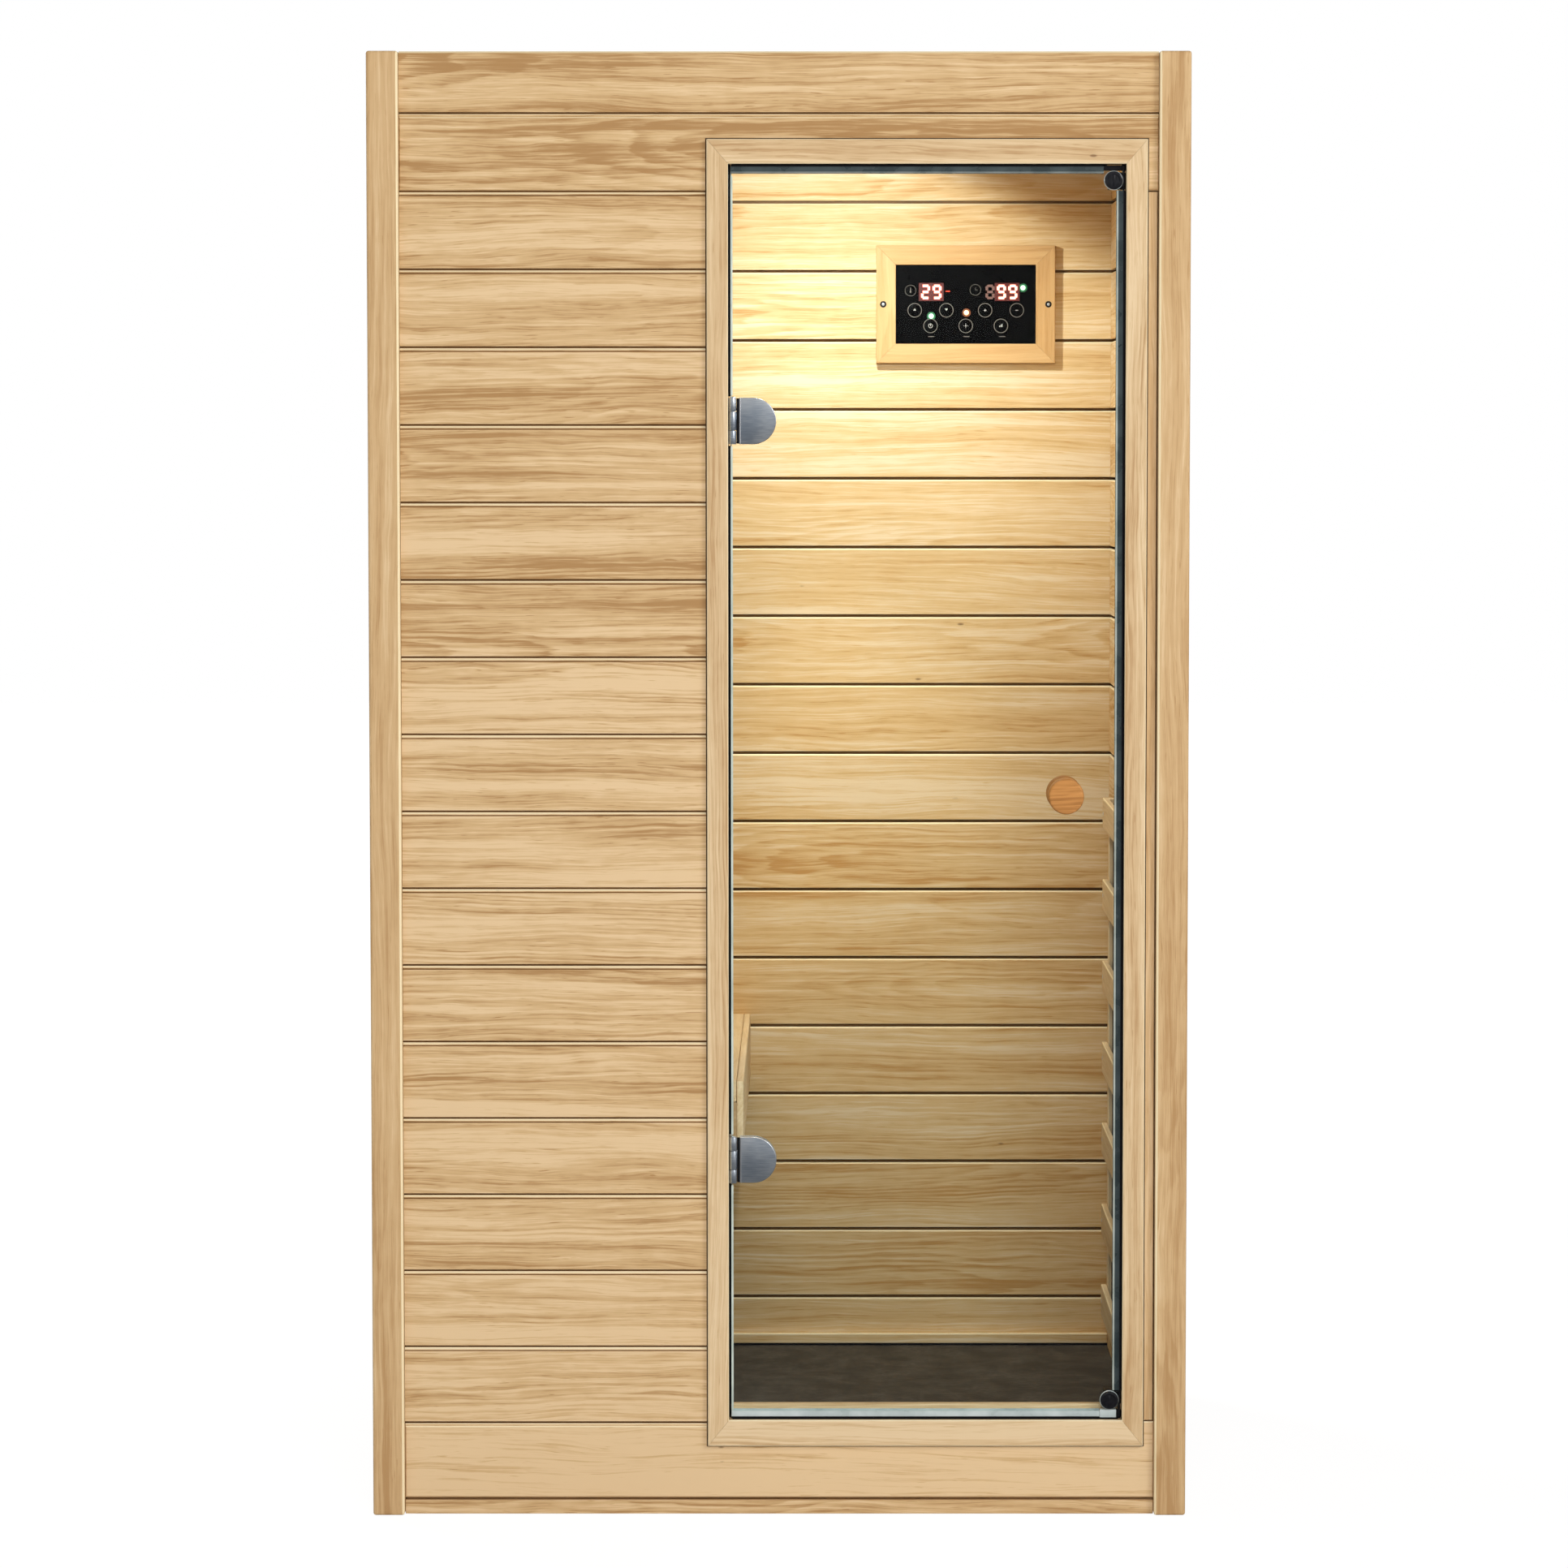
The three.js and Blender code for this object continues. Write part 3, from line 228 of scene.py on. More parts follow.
def draw_out(bm, points, way):
    """Closes the points into a face and draws it out along the way; returns the vertices of the far end."""
    face = bm.faces.new([bm.verts.new(p) for p in points])
    drawn = bmesh.ops.extrude_face_region(bm, geom=[face])["geom"]
    far = [item for item in drawn if isinstance(item, bmesh.types.BMVert)]
    bmesh.ops.translate(bm, vec=way, verts=far)
    return far


def add_plate(bm, outline, back, front, edge, steps=2, mitred=False):
    """A plate drawn in X and Z from y = back to y = front, its front edge eased but for any mitred ends."""
    far = draw_out(bm, [Vector((x, back, z)) for x, z in outline], Vector((0, front - back, 0)))
    rim = {e for v in far for e in v.link_edges if e.other_vert(v) in far}
    if mitred:
        rim = {e for e in rim if min(abs(e.verts[0].co[i] - e.verts[1].co[i]) for i in (0, 2)) < MM}
    if edge:
        soften(bm, rim, edge, steps)


def add_rod(bm, start, end, radius, sides=32, edge=0):
    """A round bar between two points, with eased ends."""
    start, end = Vector(start), Vector(end)
    turn = (end - start).to_track_quat("Z", "Y").to_matrix().to_4x4()
    place = Matrix.Translation((start + end) / 2) @ turn
    made = bmesh.ops.create_cone(bm, cap_ends=True, segments=sides, radius1=radius, radius2=radius,
                                 depth=(end - start).length, matrix=place)["verts"]
    if edge:
        caps = {f for v in made for f in v.link_faces if len(f.verts) == sides}
        soften(bm, {e for f in caps for e in f.edges}, edge)


def add_turned(bm, profile, origin, axis, sides=48):
    """A turned shape: (radius, height) points spun once round the axis through the origin."""
    origin = Vector(origin)
    side = axis.orthogonal().normalized()
    line = [bm.verts.new(origin + side * r + axis * h) for r, h in profile]
    edges = [bm.edges.new(pair) for pair in zip(line, line[1:])]
    bmesh.ops.spin(bm, geom=line + edges, cent=origin, axis=axis, angle=math.tau, steps=sides,
                   use_merge=True, use_duplicate=False)
    bmesh.ops.remove_doubles(bm, verts=bm.verts, dist=1e-7)


def add_ring(bm, centre, radius, width, thickness):
    """A flat printed ring that faces the front."""
    profile = [(radius, 0), (radius, thickness), (radius + width, thickness), (radius + width, 0), (radius, 0)]
    add_turned(bm, profile, centre, -Y_AXIS, 40)


def finish_piece(bm, name, material, body, nodes=(), smooth_angle=None):
    """Turns the mesh work into a piece that rides on a body and stands for the given nodes."""
    bmesh.ops.recalc_face_normals(bm, faces=bm.faces)
    mesh = bpy.data.meshes.new(name)
    bm.to_mesh(mesh)
    bm.free()
    mesh.materials.append(material)
    if smooth_angle:
        mesh.shade_smooth()
        mesh.set_sharp_from_angle(angle=math.radians(smooth_angle))
    piece = bpy.data.objects.new(name, mesh)
    bpy.context.scene.collection.objects.link(piece)
    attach(piece, body)
    if nodes:
        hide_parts(*nodes)
    return piece


# Shader work
def mark_faces(piece, material, chosen):
    """Gives the faces that a test of their facing and centre picks out a material of their own."""
    piece.data.materials.append(material)
    for face in piece.data.polygons:
        if chosen(face.normal, face.center):
            face.material_index = len(piece.data.materials) - 1


def new_node(tree, kind, sockets=None, **settings):
    made = tree.nodes.new(kind)
    for name, value in settings.items():
        setattr(made, name, value)
    for key, value in (sockets or {}).items():
        if isinstance(value, bpy.types.NodeSocket):
            tree.links.new(value, made.inputs[key])
        else:
            made.inputs[key].default_value = value
    return made


def calc(tree, operation, *values):
    made = new_node(tree, "ShaderNodeMath", dict(enumerate(values)), operation=operation)
    return made.outputs[0]


def stretch(tree, vector, scale):
    made = new_node(tree, "ShaderNodeVectorMath", {0: vector, 1: scale}, operation="MULTIPLY")
    return made.outputs[0]


def noise(tree, vector, detail=2.0, roughness=0.5):
    sockets = {"Vector": vector, "Scale": 1.0, "Detail": detail, "Roughness": roughness}
    return new_node(tree, "ShaderNodeTexNoise", sockets).outputs["Fac"]


def spread(tree, value, low, high, to_low=0.0, to_high=1.0):
    sockets = {0: value, 1: low, 2: high, 3: to_low, 4: to_high}
    return new_node(tree, "ShaderNodeMapRange", sockets, interpolation_type="SMOOTHSTEP").outputs[0]


def mixed(tree, factor, first, second, mode="MIX"):
    made = new_node(tree, "ShaderNodeMix", {0: factor, 6: first, 7: second}, data_type="RGBA")
    made.blend_type = mode
    return made.outputs[2]


def new_group(name, inputs, outputs):
    """An empty shader group with named sockets; returns the group, its input sockets and its output node."""
    group = bpy.data.node_groups.new(name, "ShaderNodeTree")
    for socket, kind in inputs.items():
        group.interface.new_socket(socket, in_out="INPUT", socket_type=f"NodeSocket{kind}")
    for socket, kind in outputs.items():
        group.interface.new_socket(socket, in_out="OUTPUT", socket_type=f"NodeSocket{kind}")
    taken = group.nodes.new("NodeGroupInput").outputs
    given = group.nodes.new("NodeGroupOutput")
    return group, taken, given


def make_timber_grain():
    """Flat-sawn grain: growth rings cut by the board's face, wavy streaks, fibres, short pores and specks."""
    group, taken, given = new_group(
        "timber_grain",
        {"Grain": "Vector", "Board": "Float", "Pale": "Color", "Honey": "Color", "Brown": "Color",
         "Figure": "Float"},
        {"Color": "Color", "Roughness": "Float", "Height": "Float"},
    )
    grain = taken["Grain"]
    parts = new_node(group, "ShaderNodeSeparateXYZ", {0: grain}).outputs
    sway = noise(group, stretch(group, grain, (1.3, 8.0, 8.0)))
    drift = noise(group, stretch(group, grain, (0.9, 0.6, 0.6)))
    ripple = noise(group, stretch(group, grain, (7.0, 26.0, 26.0)), 2.0)
    across = calc(group, "ADD", parts[1], calc(group, "MULTIPLY_ADD", sway, 0.05, -0.025))
    across = calc(group, "ADD", across, calc(group, "MULTIPLY_ADD", ripple, 0.012, -0.006))
    deep = calc(group, "ADD", parts[2], calc(group, "MULTIPLY_ADD", drift, 0.12, -0.06))
    flow = new_node(group, "ShaderNodeCombineXYZ", {0: parts[0], 1: across, 2: parts[2]}).outputs[0]

    radius = calc(group, "SQRT", calc(group, "ADD", calc(group, "POWER", across, 2.0),
                                      calc(group, "POWER", deep, 2.0)))
    wobble = noise(group, stretch(group, grain, (9.0, 90.0, 90.0)), 3.0)
    phase = calc(group, "ADD", calc(group, "MULTIPLY", radius, 190.0), calc(group, "MULTIPLY", wobble, 1.3))
    ring = calc(group, "FRACT", phase)
    late = calc(group, "MULTIPLY", spread(group, ring, 0.15, 0.85), spread(group, ring, 1.0, 0.86))
    ring_place = new_node(group, "ShaderNodeCombineXYZ",
                          {0: calc(group, "MULTIPLY", parts[0], 0.9), 1: calc(group, "MULTIPLY", radius, 30.0),
                           2: taken["Board"]}).outputs[0]
    clear_rings = spread(group, noise(group, ring_place, 1.0), 0.40, 0.70)

    band = noise(group, stretch(group, flow, (0.8, 24.0, 24.0)), 2.0)
    streak = noise(group, stretch(group, flow, (2.6, 75.0, 75.0)), 4.0, 0.62)
    line = noise(group, stretch(group, flow, (4.0, 240.0, 240.0)), 3.0, 0.6)
    fibre = noise(group, stretch(group, flow, (22.0, 900.0, 900.0)), 2.0)
    mottle = noise(group, stretch(group, grain, (36.0, 70.0, 70.0)), 3.0)
    pores = spread(group, noise(group, stretch(group, flow, (34.0, 620.0, 620.0)), 1.0), 0.66, 0.76)

    def add_share(shade, layer, share):
        return calc(group, "MULTIPLY_ADD", calc(group, "SUBTRACT", layer, 0.5), share, shade)

    shade = add_share(0.41, band, 0.95)
    shade = add_share(shade, streak, 0.85)
    shade = add_share(shade, line, 0.90)
    shade = add_share(shade, mottle, 0.20)
    shade = add_share(shade, fibre, 0.50)
    shade = calc(group, "MULTIPLY_ADD", calc(group, "MULTIPLY", late, clear_rings), 0.24, shade)
    shade = calc(group, "MULTIPLY_ADD", pores, 0.22, shade)
    shade = calc(group, "MULTIPLY_ADD", calc(group, "SUBTRACT", shade, 0.45), taken["Figure"], 0.45)
    shade = add_share(shade, taken["Board"], 0.40)
    colour = mixed(group, spread(group, shade, 0.0, 0.55), taken["Pale"], taken["Honey"])
    colour = mixed(group, spread(group, shade, 0.45, 1.10), colour, taken["Brown"])

    cells = new_node(group, "ShaderNodeTexVoronoi",
                     {"Vector": stretch(group, grain, (16.0, 42.0, 42.0)), "Scale": 1.0})
    chosen = new_node(group, "ShaderNodeSeparateXYZ", {0: cells.outputs["Color"]}).outputs[0]
    speck = calc(group, "MULTIPLY", spread(group, cells.outputs["Distance"], 0.10, 0.04),
                 spread(group, chosen, 0.965, 0.975))
    colour = mixed(group, calc(group, "MULTIPLY", speck, 0.7), colour, (0.16, 0.075, 0.03, 1))
    height = calc(group, "MULTIPLY_ADD", pores, -0.8, calc(group, "MULTIPLY_ADD", late, -0.3, fibre))
    group.links.new(colour, given.inputs["Color"])
    group.links.new(calc(group, "MULTIPLY_ADD", shade, 0.16, 0.50), given.inputs["Roughness"])
    group.links.new(height, given.inputs["Height"])
    return group


TIMBER_GRAIN = make_timber_grain()


def start_material(name):
    material = bpy.data.materials.new(name)
    material.use_nodes = True
    tree = material.node_tree
    return material, tree, tree.nodes["Principled BSDF"]


def raise_surface(tree, shader, height, strength, distance):
    bump = new_node(tree, "ShaderNodeBump", {"Height": height, "Strength": strength, "Distance": distance})
    tree.links.new(bump.outputs[0], shader.inputs["Normal"])


def make_timber(name, pale, honey, brown, figure=1.0):
    """A planed wood finish that follows each board's own grain."""
    material, tree, shader = start_material(name)
    grain = new_node(tree, "ShaderNodeAttribute", attribute_name="grain")
    board = new_node(tree, "ShaderNodeAttribute", attribute_name="board")
    wood = new_node(tree, "ShaderNodeGroup", node_tree=TIMBER_GRAIN)
    tree.links.new(grain.outputs["Vector"], wood.inputs["Grain"])
    tree.links.new(board.outputs["Fac"], wood.inputs["Board"])
    wood.inputs["Pale"].default_value = (*pale, 1)
    wood.inputs["Honey"].default_value = (*honey, 1)
    wood.inputs["Brown"].default_value = (*brown, 1)
    wood.inputs["Figure"].default_value = figure
    tree.links.new(wood.outputs["Color"], shader.inputs["Base Color"])
    tree.links.new(wood.outputs["Roughness"], shader.inputs["Roughness"])
    shader.inputs["Specular IOR Level"].default_value = 0.3
    raise_surface(tree, shader, wood.outputs["Height"], 0.2, 0.25 * MM)
    return material


def object_place(tree, scale):
    place = new_node(tree, "ShaderNodeTexCoord").outputs["Object"]
    return stretch(tree, place, scale)


def make_plain(name, dark, light, roughness, scale, metal=0.0, bump=0.15, gloss=0.5):
    """A moulded, painted or rolled surface: two tones mottled at the given scale, with a fine grain."""
    material, tree, shader = start_material(name)
    mottle = noise(tree, object_place(tree, scale), 3.0)
    tone = spread(tree, mottle, 0.3, 0.7)
    tree.links.new(mixed(tree, tone, (*dark, 1), (*light, 1)), shader.inputs["Base Color"])
    tree.links.new(spread(tree, mottle, 0.2, 0.8, roughness * 0.85, roughness * 1.15),
                   shader.inputs["Roughness"])
    shader.inputs["Metallic"].default_value = metal
    shader.inputs["Specular IOR Level"].default_value = gloss
    raise_surface(tree, shader, mottle, bump, 0.1 * MM)
    return material


def make_lit(name, colour, strength, rim):
    """A lit lamp or display: brighter where a slow mottle is high, over a plastic body."""
    material, tree, shader = start_material(name)
    mottle = noise(tree, object_place(tree, (90, 90, 90)), 2.0)
    tone = spread(tree, mottle, 0.3, 0.7)
    tree.links.new(mixed(tree, tone, (*rim, 1), (*colour, 1)), shader.inputs["Emission Color"])
    shader.inputs["Base Color"].default_value = (*colour, 1)
    shader.inputs["Emission Strength"].default_value = strength
    tree.links.new(spread(tree, mottle, 0.2, 0.8, 0.3, 0.4), shader.inputs["Roughness"])
    raise_surface(tree, shader, mottle, 0.02, 0.05 * MM)
    return material


def make_mat():
    """Dark grained floor mat."""
    material, tree, shader = start_material("grained_mat")
    cells = new_node(tree, "ShaderNodeTexVoronoi", {"Vector": object_place(tree, (170, 230, 170)), "Scale": 1.0})
    mottle = noise(tree, object_place(tree, (24, 24, 24)), 6.0, 0.72)
    tone = spread(tree, mottle, 0.36, 0.64)
    base = mixed(tree, tone, (0.008, 0.007, 0.0055, 1), (0.040, 0.035, 0.028, 1))
    # Paler on the raised cells than between them
    raised = spread(tree, cells.outputs["Distance"], 0.25, 0.75, 0.0, 0.75)
    ridge = mixed(tree, tone, (0.023, 0.020, 0.016, 1), (0.094, 0.083, 0.068, 1))
    ridged_colour = mixed(tree, raised, base, ridge)
    tree.links.new(ridged_colour, shader.inputs["Base Color"])
    tree.links.new(spread(tree, mottle, 0.2, 0.8, 0.62, 0.8), shader.inputs["Roughness"])
    raise_surface(tree, shader, cells.outputs["Distance"], 0.35, 0.3 * MM)
    return material


def make_glass(name, tint, roughness):
    """Clear glass that lets lamp light and soft light straight through."""
    material, tree, shader = start_material(name)
    smear = noise(tree, object_place(tree, (2.5, 2.5, 1.2)), 3.0)
    tree.links.new(spread(tree, smear, 0.3, 0.8, roughness, roughness + 0.012), shader.inputs["Roughness"])
    raise_surface(tree, shader, smear, 0.01, 0.02 * MM)
    shader.inputs["Base Color"].default_value = (*tint, 1)
    shader.inputs["Transmission Weight"].default_value = 1.0
    shader.inputs["IOR"].default_value = 1.12
    ways = new_node(tree, "ShaderNodeLightPath").outputs
    soft = calc(tree, "MAXIMUM", ways["Is Shadow Ray"], ways["Is Diffuse Ray"])
    clear = new_node(tree, "ShaderNodeBsdfTransparent", {"Color": (*tint, 1)})
    both = new_node(tree, "ShaderNodeMixShader", {0: soft, 1: shader.outputs[0], 2: clear.outputs[0]})
    tree.links.new(both.outputs[0], tree.nodes["Material Output"].inputs["Surface"])
    return material


def make_steel():
    """Satin steel with fine brushing along X and a slow change of tone."""
    material, tree, shader = start_material("satin_steel")
    brushing = noise(tree, object_place(tree, (60, 900, 900)), 2.0)
    slow = noise(tree, object_place(tree, (22, 22, 22)), 1.0)
    tone = calc(tree, "MULTIPLY_ADD", brushing, 0.35, calc(tree, "MULTIPLY", slow, 0.65))
    tree.links.new(mixed(tree, spread(tree, tone, 0.3, 0.7), (0.44, 0.52, 0.63, 1), (0.89, 0.94, 0.99, 1)),
                   shader.inputs["Base Color"])
    tree.links.new(spread(tree, brushing, 0.2, 0.8, 0.30, 0.42), shader.inputs["Roughness"])
    shader.inputs["Metallic"].default_value = 1.0
    raise_surface(tree, shader, brushing, 0.06, 0.05 * MM)
    return material


CLADDING = make_timber("cladding_boards", (0.735, 0.532, 0.308), (0.615, 0.414, 0.207), (0.41, 0.232, 0.093), 1.95)
LINING = make_timber("lining_boards", (0.79, 0.63, 0.415), (0.69, 0.485, 0.24), (0.52, 0.285, 0.095), 1.4)
POSTS = make_timber("post_timber", (0.72, 0.525, 0.305), (0.60, 0.40, 0.203), (0.45, 0.265, 0.115), 1.4)
CASING = make_timber("casing_timber", (0.74, 0.56, 0.345), (0.64, 0.455, 0.255), (0.48, 0.295, 0.14), 1.7)
FRAMING = make_timber("framing_timber", (0.70, 0.50, 0.29), (0.58, 0.385, 0.195), (0.42, 0.25, 0.11), 1.3)
BENCH = make_timber("bench_timber", (0.76, 0.61, 0.40), (0.67, 0.51, 0.30), (0.50, 0.34, 0.17), 1.1)
BEZEL = make_timber("bezel_timber", (0.65, 0.42, 0.195), (0.57, 0.34, 0.14), (0.42, 0.215, 0.068), 0.95)
# Darker copy of the bench timber for the rails under the seat: painted shade
BENCH_RAIL_SHADE = make_timber("bench_rail_timber", (0.50, 0.35, 0.19), (0.42, 0.275, 0.135), (0.31, 0.185, 0.08), 1.1)
# Dark timber copies for the faces deep in the board joints: painted shade
JOINT_SHADE = make_timber("joint_timber", (0.43, 0.24, 0.095), (0.36, 0.19, 0.07), (0.26, 0.125, 0.042), 1.0)
LINING_JOINT_SHADE = make_timber("lining_joint_timber", (0.22, 0.11, 0.032), (0.17, 0.082, 0.022), (0.1, 0.046, 0.012), 1.0)
# Pale timber for eased edges: a painted highlight
PAINTED_HIGHLIGHT = make_timber("sanded_arris", (0.92, 0.80, 0.55), (0.87, 0.73, 0.47), (0.74, 0.57, 0.32), 0.6)
KNOB = make_timber("knob_timber", (0.61, 0.295, 0.09), (0.535, 0.24, 0.067), (0.37, 0.155, 0.04), 1.4)
MAT = make_mat()
GLASS = make_glass("door_glass_clear", (0.97, 0.995, 0.985), 0.0)
# Ground glass edges, also used for the strip that paints a highlight along the hinge edge
GLASS_EDGE_AND_HIGHLIGHT = make_plain("ground_glass_edge", (0.47, 0.55, 0.50), (0.63, 0.71, 0.65), 0.35, (40, 40, 25))
SLATE_SEAL = make_plain("slate_seal", (0.022, 0.034, 0.037), (0.050, 0.068, 0.072), 0.28, (30, 30, 30))
# Paler copy of the seal for faces that catch light: painted light
SEAL_LIGHT = make_plain("pale_seal", (0.42, 0.49, 0.50), (0.58, 0.65, 0.66), 0.3, (30, 30, 30))
SIDE_LIP = make_plain("side_seal_lip", (0.27, 0.31, 0.28), (0.42, 0.46, 0.42), 0.3, (30, 30, 30))
# Darker copy of the seal lip for the top, which lies in shade: painted shade
TOP_LIP_SHADE = make_plain("top_seal_lip", (0.11, 0.13, 0.125), (0.19, 0.21, 0.20), 0.3, (30, 30, 30))
# Dark brown for the strip round the casing: painted shadow
CASING_SHADOW = make_plain("brown_sealant", (0.060, 0.034, 0.015), (0.095, 0.055, 0.025), 0.6, (90, 90, 90))
STEEL = make_steel()
BLACK = make_plain("black_moulding", (0.004, 0.004, 0.005), (0.010, 0.010, 0.012), 0.38, (500, 500, 500), gloss=0.2)
CATCH_BLACK = make_plain("catch_gloss", (0.004, 0.004, 0.006), (0.009, 0.009, 0.012), 0.16, (200, 200, 200), bump=0.03)
FACE_BLACK = make_plain("control_gloss", (0.0003, 0.0003, 0.0004), (0.0007, 0.0007, 0.0009), 0.3, (80, 80, 80), bump=0.02,
                        gloss=0.04)
PRINT_GREY = make_plain("printed_grey", (0.17, 0.155, 0.14), (0.25, 0.23, 0.205), 0.5, (300, 300, 300), gloss=0.1)
PRINT_WHITE = make_plain("printed_white", (0.66, 0.65, 0.62), (0.80, 0.78, 0.75), 0.5, (300, 300, 300), gloss=0.1)
HEATER = make_plain("heater_sheet", (0.05, 0.036, 0.027), (0.085, 0.063, 0.048), 0.75, (26, 160, 160))
STEEL_PAINT = make_plain("box_paint", (0.30, 0.31, 0.32), (0.36, 0.37, 0.38), 0.45, (60, 60, 60), 0.3)
LAMP_GLOW = make_lit("lamp_glow", (1.0, 0.87, 0.60), 4.0, (1.0, 0.78, 0.45))
# Paler steel for rims and lips: a painted highlight
STEEL_HIGHLIGHT = make_plain("bright_steel", (0.80, 0.82, 0.85), (0.92, 0.93, 0.95), 0.3, (200, 200, 40), 1.0, 0.04)
DIGIT_CORE = make_lit("digit_core", (1.0, 0.84, 0.70), 1.15, (1.0, 0.74, 0.58))
DIGIT_GLOW = make_lit("digit_glow", (0.70, 0.05, 0.015), 0.7, (0.50, 0.03, 0.01))
DIGIT_HALO = make_lit("digit_halo", (0.060, 0.006, 0.004), 1.0, (0.035, 0.004, 0.003))
DIGIT_OFF = make_plain("digit_off", (0.17, 0.085, 0.07), (0.23, 0.12, 0.10), 0.4, (300, 300, 300))
GREEN_GLOW = make_lit("green_glow", (0.62, 1.0, 0.70), 1.2, (0.42, 0.9, 0.5))
GREEN_HALO = make_lit("green_halo", (0.010, 0.10, 0.035), 1.0, (0.006, 0.05, 0.018))
AMBER_GLOW = make_lit("amber_glow", (1.0, 0.74, 0.42), 1.3, (1.0, 0.58, 0.24))
AMBER_HALO = make_lit("amber_halo", (0.13, 0.035, 0.008), 1.0, (0.07, 0.016, 0.004))


# Boarded walls
def board_rows(low, high, joint):
    """Lower and upper edges of the boards between two levels, from any one joint between them."""
    below = math.ceil((joint - low) / BOARD_PITCH)
    levels = [joint + (i - below) * BOARD_PITCH for i in range(40)]
    inside = [z for z in levels if low + 2 * JOINT_GAP < z < high - 2 * JOINT_GAP]
    edges = [low, *inside, high]
    return list(zip(edges, edges[1:]))


def board_section(low, high, thickness, tongue, gap=JOINT_GAP, bead=False):
    """A board across its length, as (rise, depth): chamfers, a tongue above, and a fine groove under its bead."""
    top = high - gap if tongue else high
    low = low + HAIRLINE
    outline = [(low, 0), (high, 0)]
    if tongue:
        outline += [(high, thickness - JOINT_DEPTH), (top, thickness - JOINT_DEPTH)]
    outline += [(top, thickness - UPPER_CHAMFER), (top - UPPER_CHAMFER, thickness)]
    if bead:
        floor, under = thickness - QUIRK_DEPTH, top - BEAD - QUIRK
        outline += [(top - BEAD, thickness), (top - BEAD, floor), (under, floor), (under, thickness)]
    return outline + [(low + LOWER_CHAMFER, thickness), (low, thickness - LOWER_CHAMFER)]


def lay_board(bm, section, origin, rise, depth, way, chance, tone=None):
    """Draws a board's section out along the way from the origin."""
    draw_out(bm, [origin + rise * r + depth * d for r, d in section], way)
    lay_grain(bm, way.normalized(), depth, chance, tone)


def lay_boards(bm, rows, thickness, origin, rise, depth, way, chance, gap=JOINT_GAP, bead=False):
    for low, high in rows:
        tongue = high is not rows[-1][1]
        # Lining boards darker and browner towards the foot, paler towards the top: painted shade and light by height
        tone = 0.85 - 0.42 * low / rows[-1][1] + chance.uniform(-0.12, 0.12) if gap == LINING_GAP else None
        section = board_section(low, high, thickness, tongue, gap, bead and tongue)
        lay_board(bm, section, origin, rise, depth, way, chance, tone)


def lay_wall(bm, low, high, facing, joint, chance, gap=JOINT_GAP, bead=False):
    """Upright boards that fill the box between two corners and face one way."""
    way = Vector((high.x - low.x, 0, 0)) if facing.y else Vector((0, high.y - low.y, 0))
    back = Vector((low.x if facing.x >= 0 else high.x, low.y if facing.y >= 0 else high.y, 0))
    thickness = abs((high - low).dot(facing))
    if facing.x:
        back.y = low.y
    else:
        back.x = low.x
    lay_boards(bm, board_rows(low.z, high.z, joint), thickness, back, Z_AXIS, facing, way, chance, gap, bead)


def finish_joints(piece, facing, front, joint=JOINT_SHADE, highlighted=True):
    """Painted shade in the joints behind the boards' front, and, where highlighted, a painted highlight on the eased
    upper edges.
    """
    last_joint = CAD_BOX[1][2] - BOARD_PITCH / 2

    def in_joint(way, spot):
        inward = way.dot(facing) > 0.9 or way.z > 0.9 and spot.z < last_joint
        return inward and spot.dot(facing) < front - 2 * MM

    if highlighted:
        # Painted highlight on the eased upper edges of the boards
        mark_faces(piece, PAINTED_HIGHLIGHT, lambda way, spot: way.z > 0.3 and way.dot(facing) > 0.3)
    # Painted shade on the faces deep in the joints
    mark_faces(piece, joint, in_joint)


def make_front_cladding():
    """Boards left of the door, and the two boards that are notched round the door frame."""
    low, high = box("front_outer_boards")
    frame_low, frame_high = box("door_frame")
    cut_left, cut_right = frame_low.x - FIT, frame_high.x + FIT
    cut_low, cut_high = frame_low.z - FIT, frame_high.z + FIT
    filler_low, filler_high = box("front_filler_strip")
    chance = random.Random("front cladding 7")
    bm = start_piece()
    rows = board_rows(low.z, high.z, low.z + BOARD_PITCH)
    thickness = high.y - low.y
    origin = Vector((low.x, high.y, 0))
    for row_low, row_high in rows:
        # Boards darker towards the top and paler towards the foot: painted light and shade by height, over the boards'
        # own tone
        tone = 0.75 + 0.28 * math.log(row_low / high.z)
        top = row_high - JOINT_GAP
        under_bead = top - BEAD - HAIRLINE
        bottom = row_low + HAIRLINE
        tongue_run = high.x
        if row_low < cut_low < row_high:
            outline = [(low.x, bottom), (high.x, bottom), (high.x, filler_low.z - FIT), (cut_right, filler_low.z - FIT),
                       (cut_right, cut_low), (cut_left, cut_low), (cut_left, under_bead), (low.x, under_bead)]
            tongue_run = cut_left
        elif row_low < cut_high < row_high:
            outline = [(low.x, bottom), (cut_left, bottom), (cut_left, cut_high), (cut_right, cut_high),
                       (cut_right, filler_high.z + FIT), (high.x, filler_high.z + FIT), (high.x, under_bead),
                       (low.x, under_bead)]
        else:
            clear = row_low < cut_high and row_high > cut_low
            way = Vector(((cut_left if clear else high.x) - low.x, 0, 0))
            tongue = row_high != high.z
            section = board_section(row_low, row_high, thickness, tongue, bead=tongue)
            lay_board(bm, section, origin, Z_AXIS, -Y_AXIS, way, chance, tone)
            continue
        add_plate(bm, outline, high.y, low.y, UPPER_CHAMFER * 0.7, 1)
        add_block(bm, (low.x, low.y, top - BEAD), (tongue_run, low.y + JOINT_DEPTH, top), SAWN_EDGE)
        add_block(bm, (low.x, low.y + JOINT_DEPTH + HAIRLINE, under_bead + HAIRLINE),
                  (tongue_run, high.y, row_high - HAIRLINE), 0)
        lay_grain(bm, X_AXIS, -Y_AXIS, chance, tone)
    wall = finish_piece(bm, "front_cladding", CLADDING, "cabin", ["front_outer_boards"])
    finish_joints(wall, -Y_AXIS, -low.y)


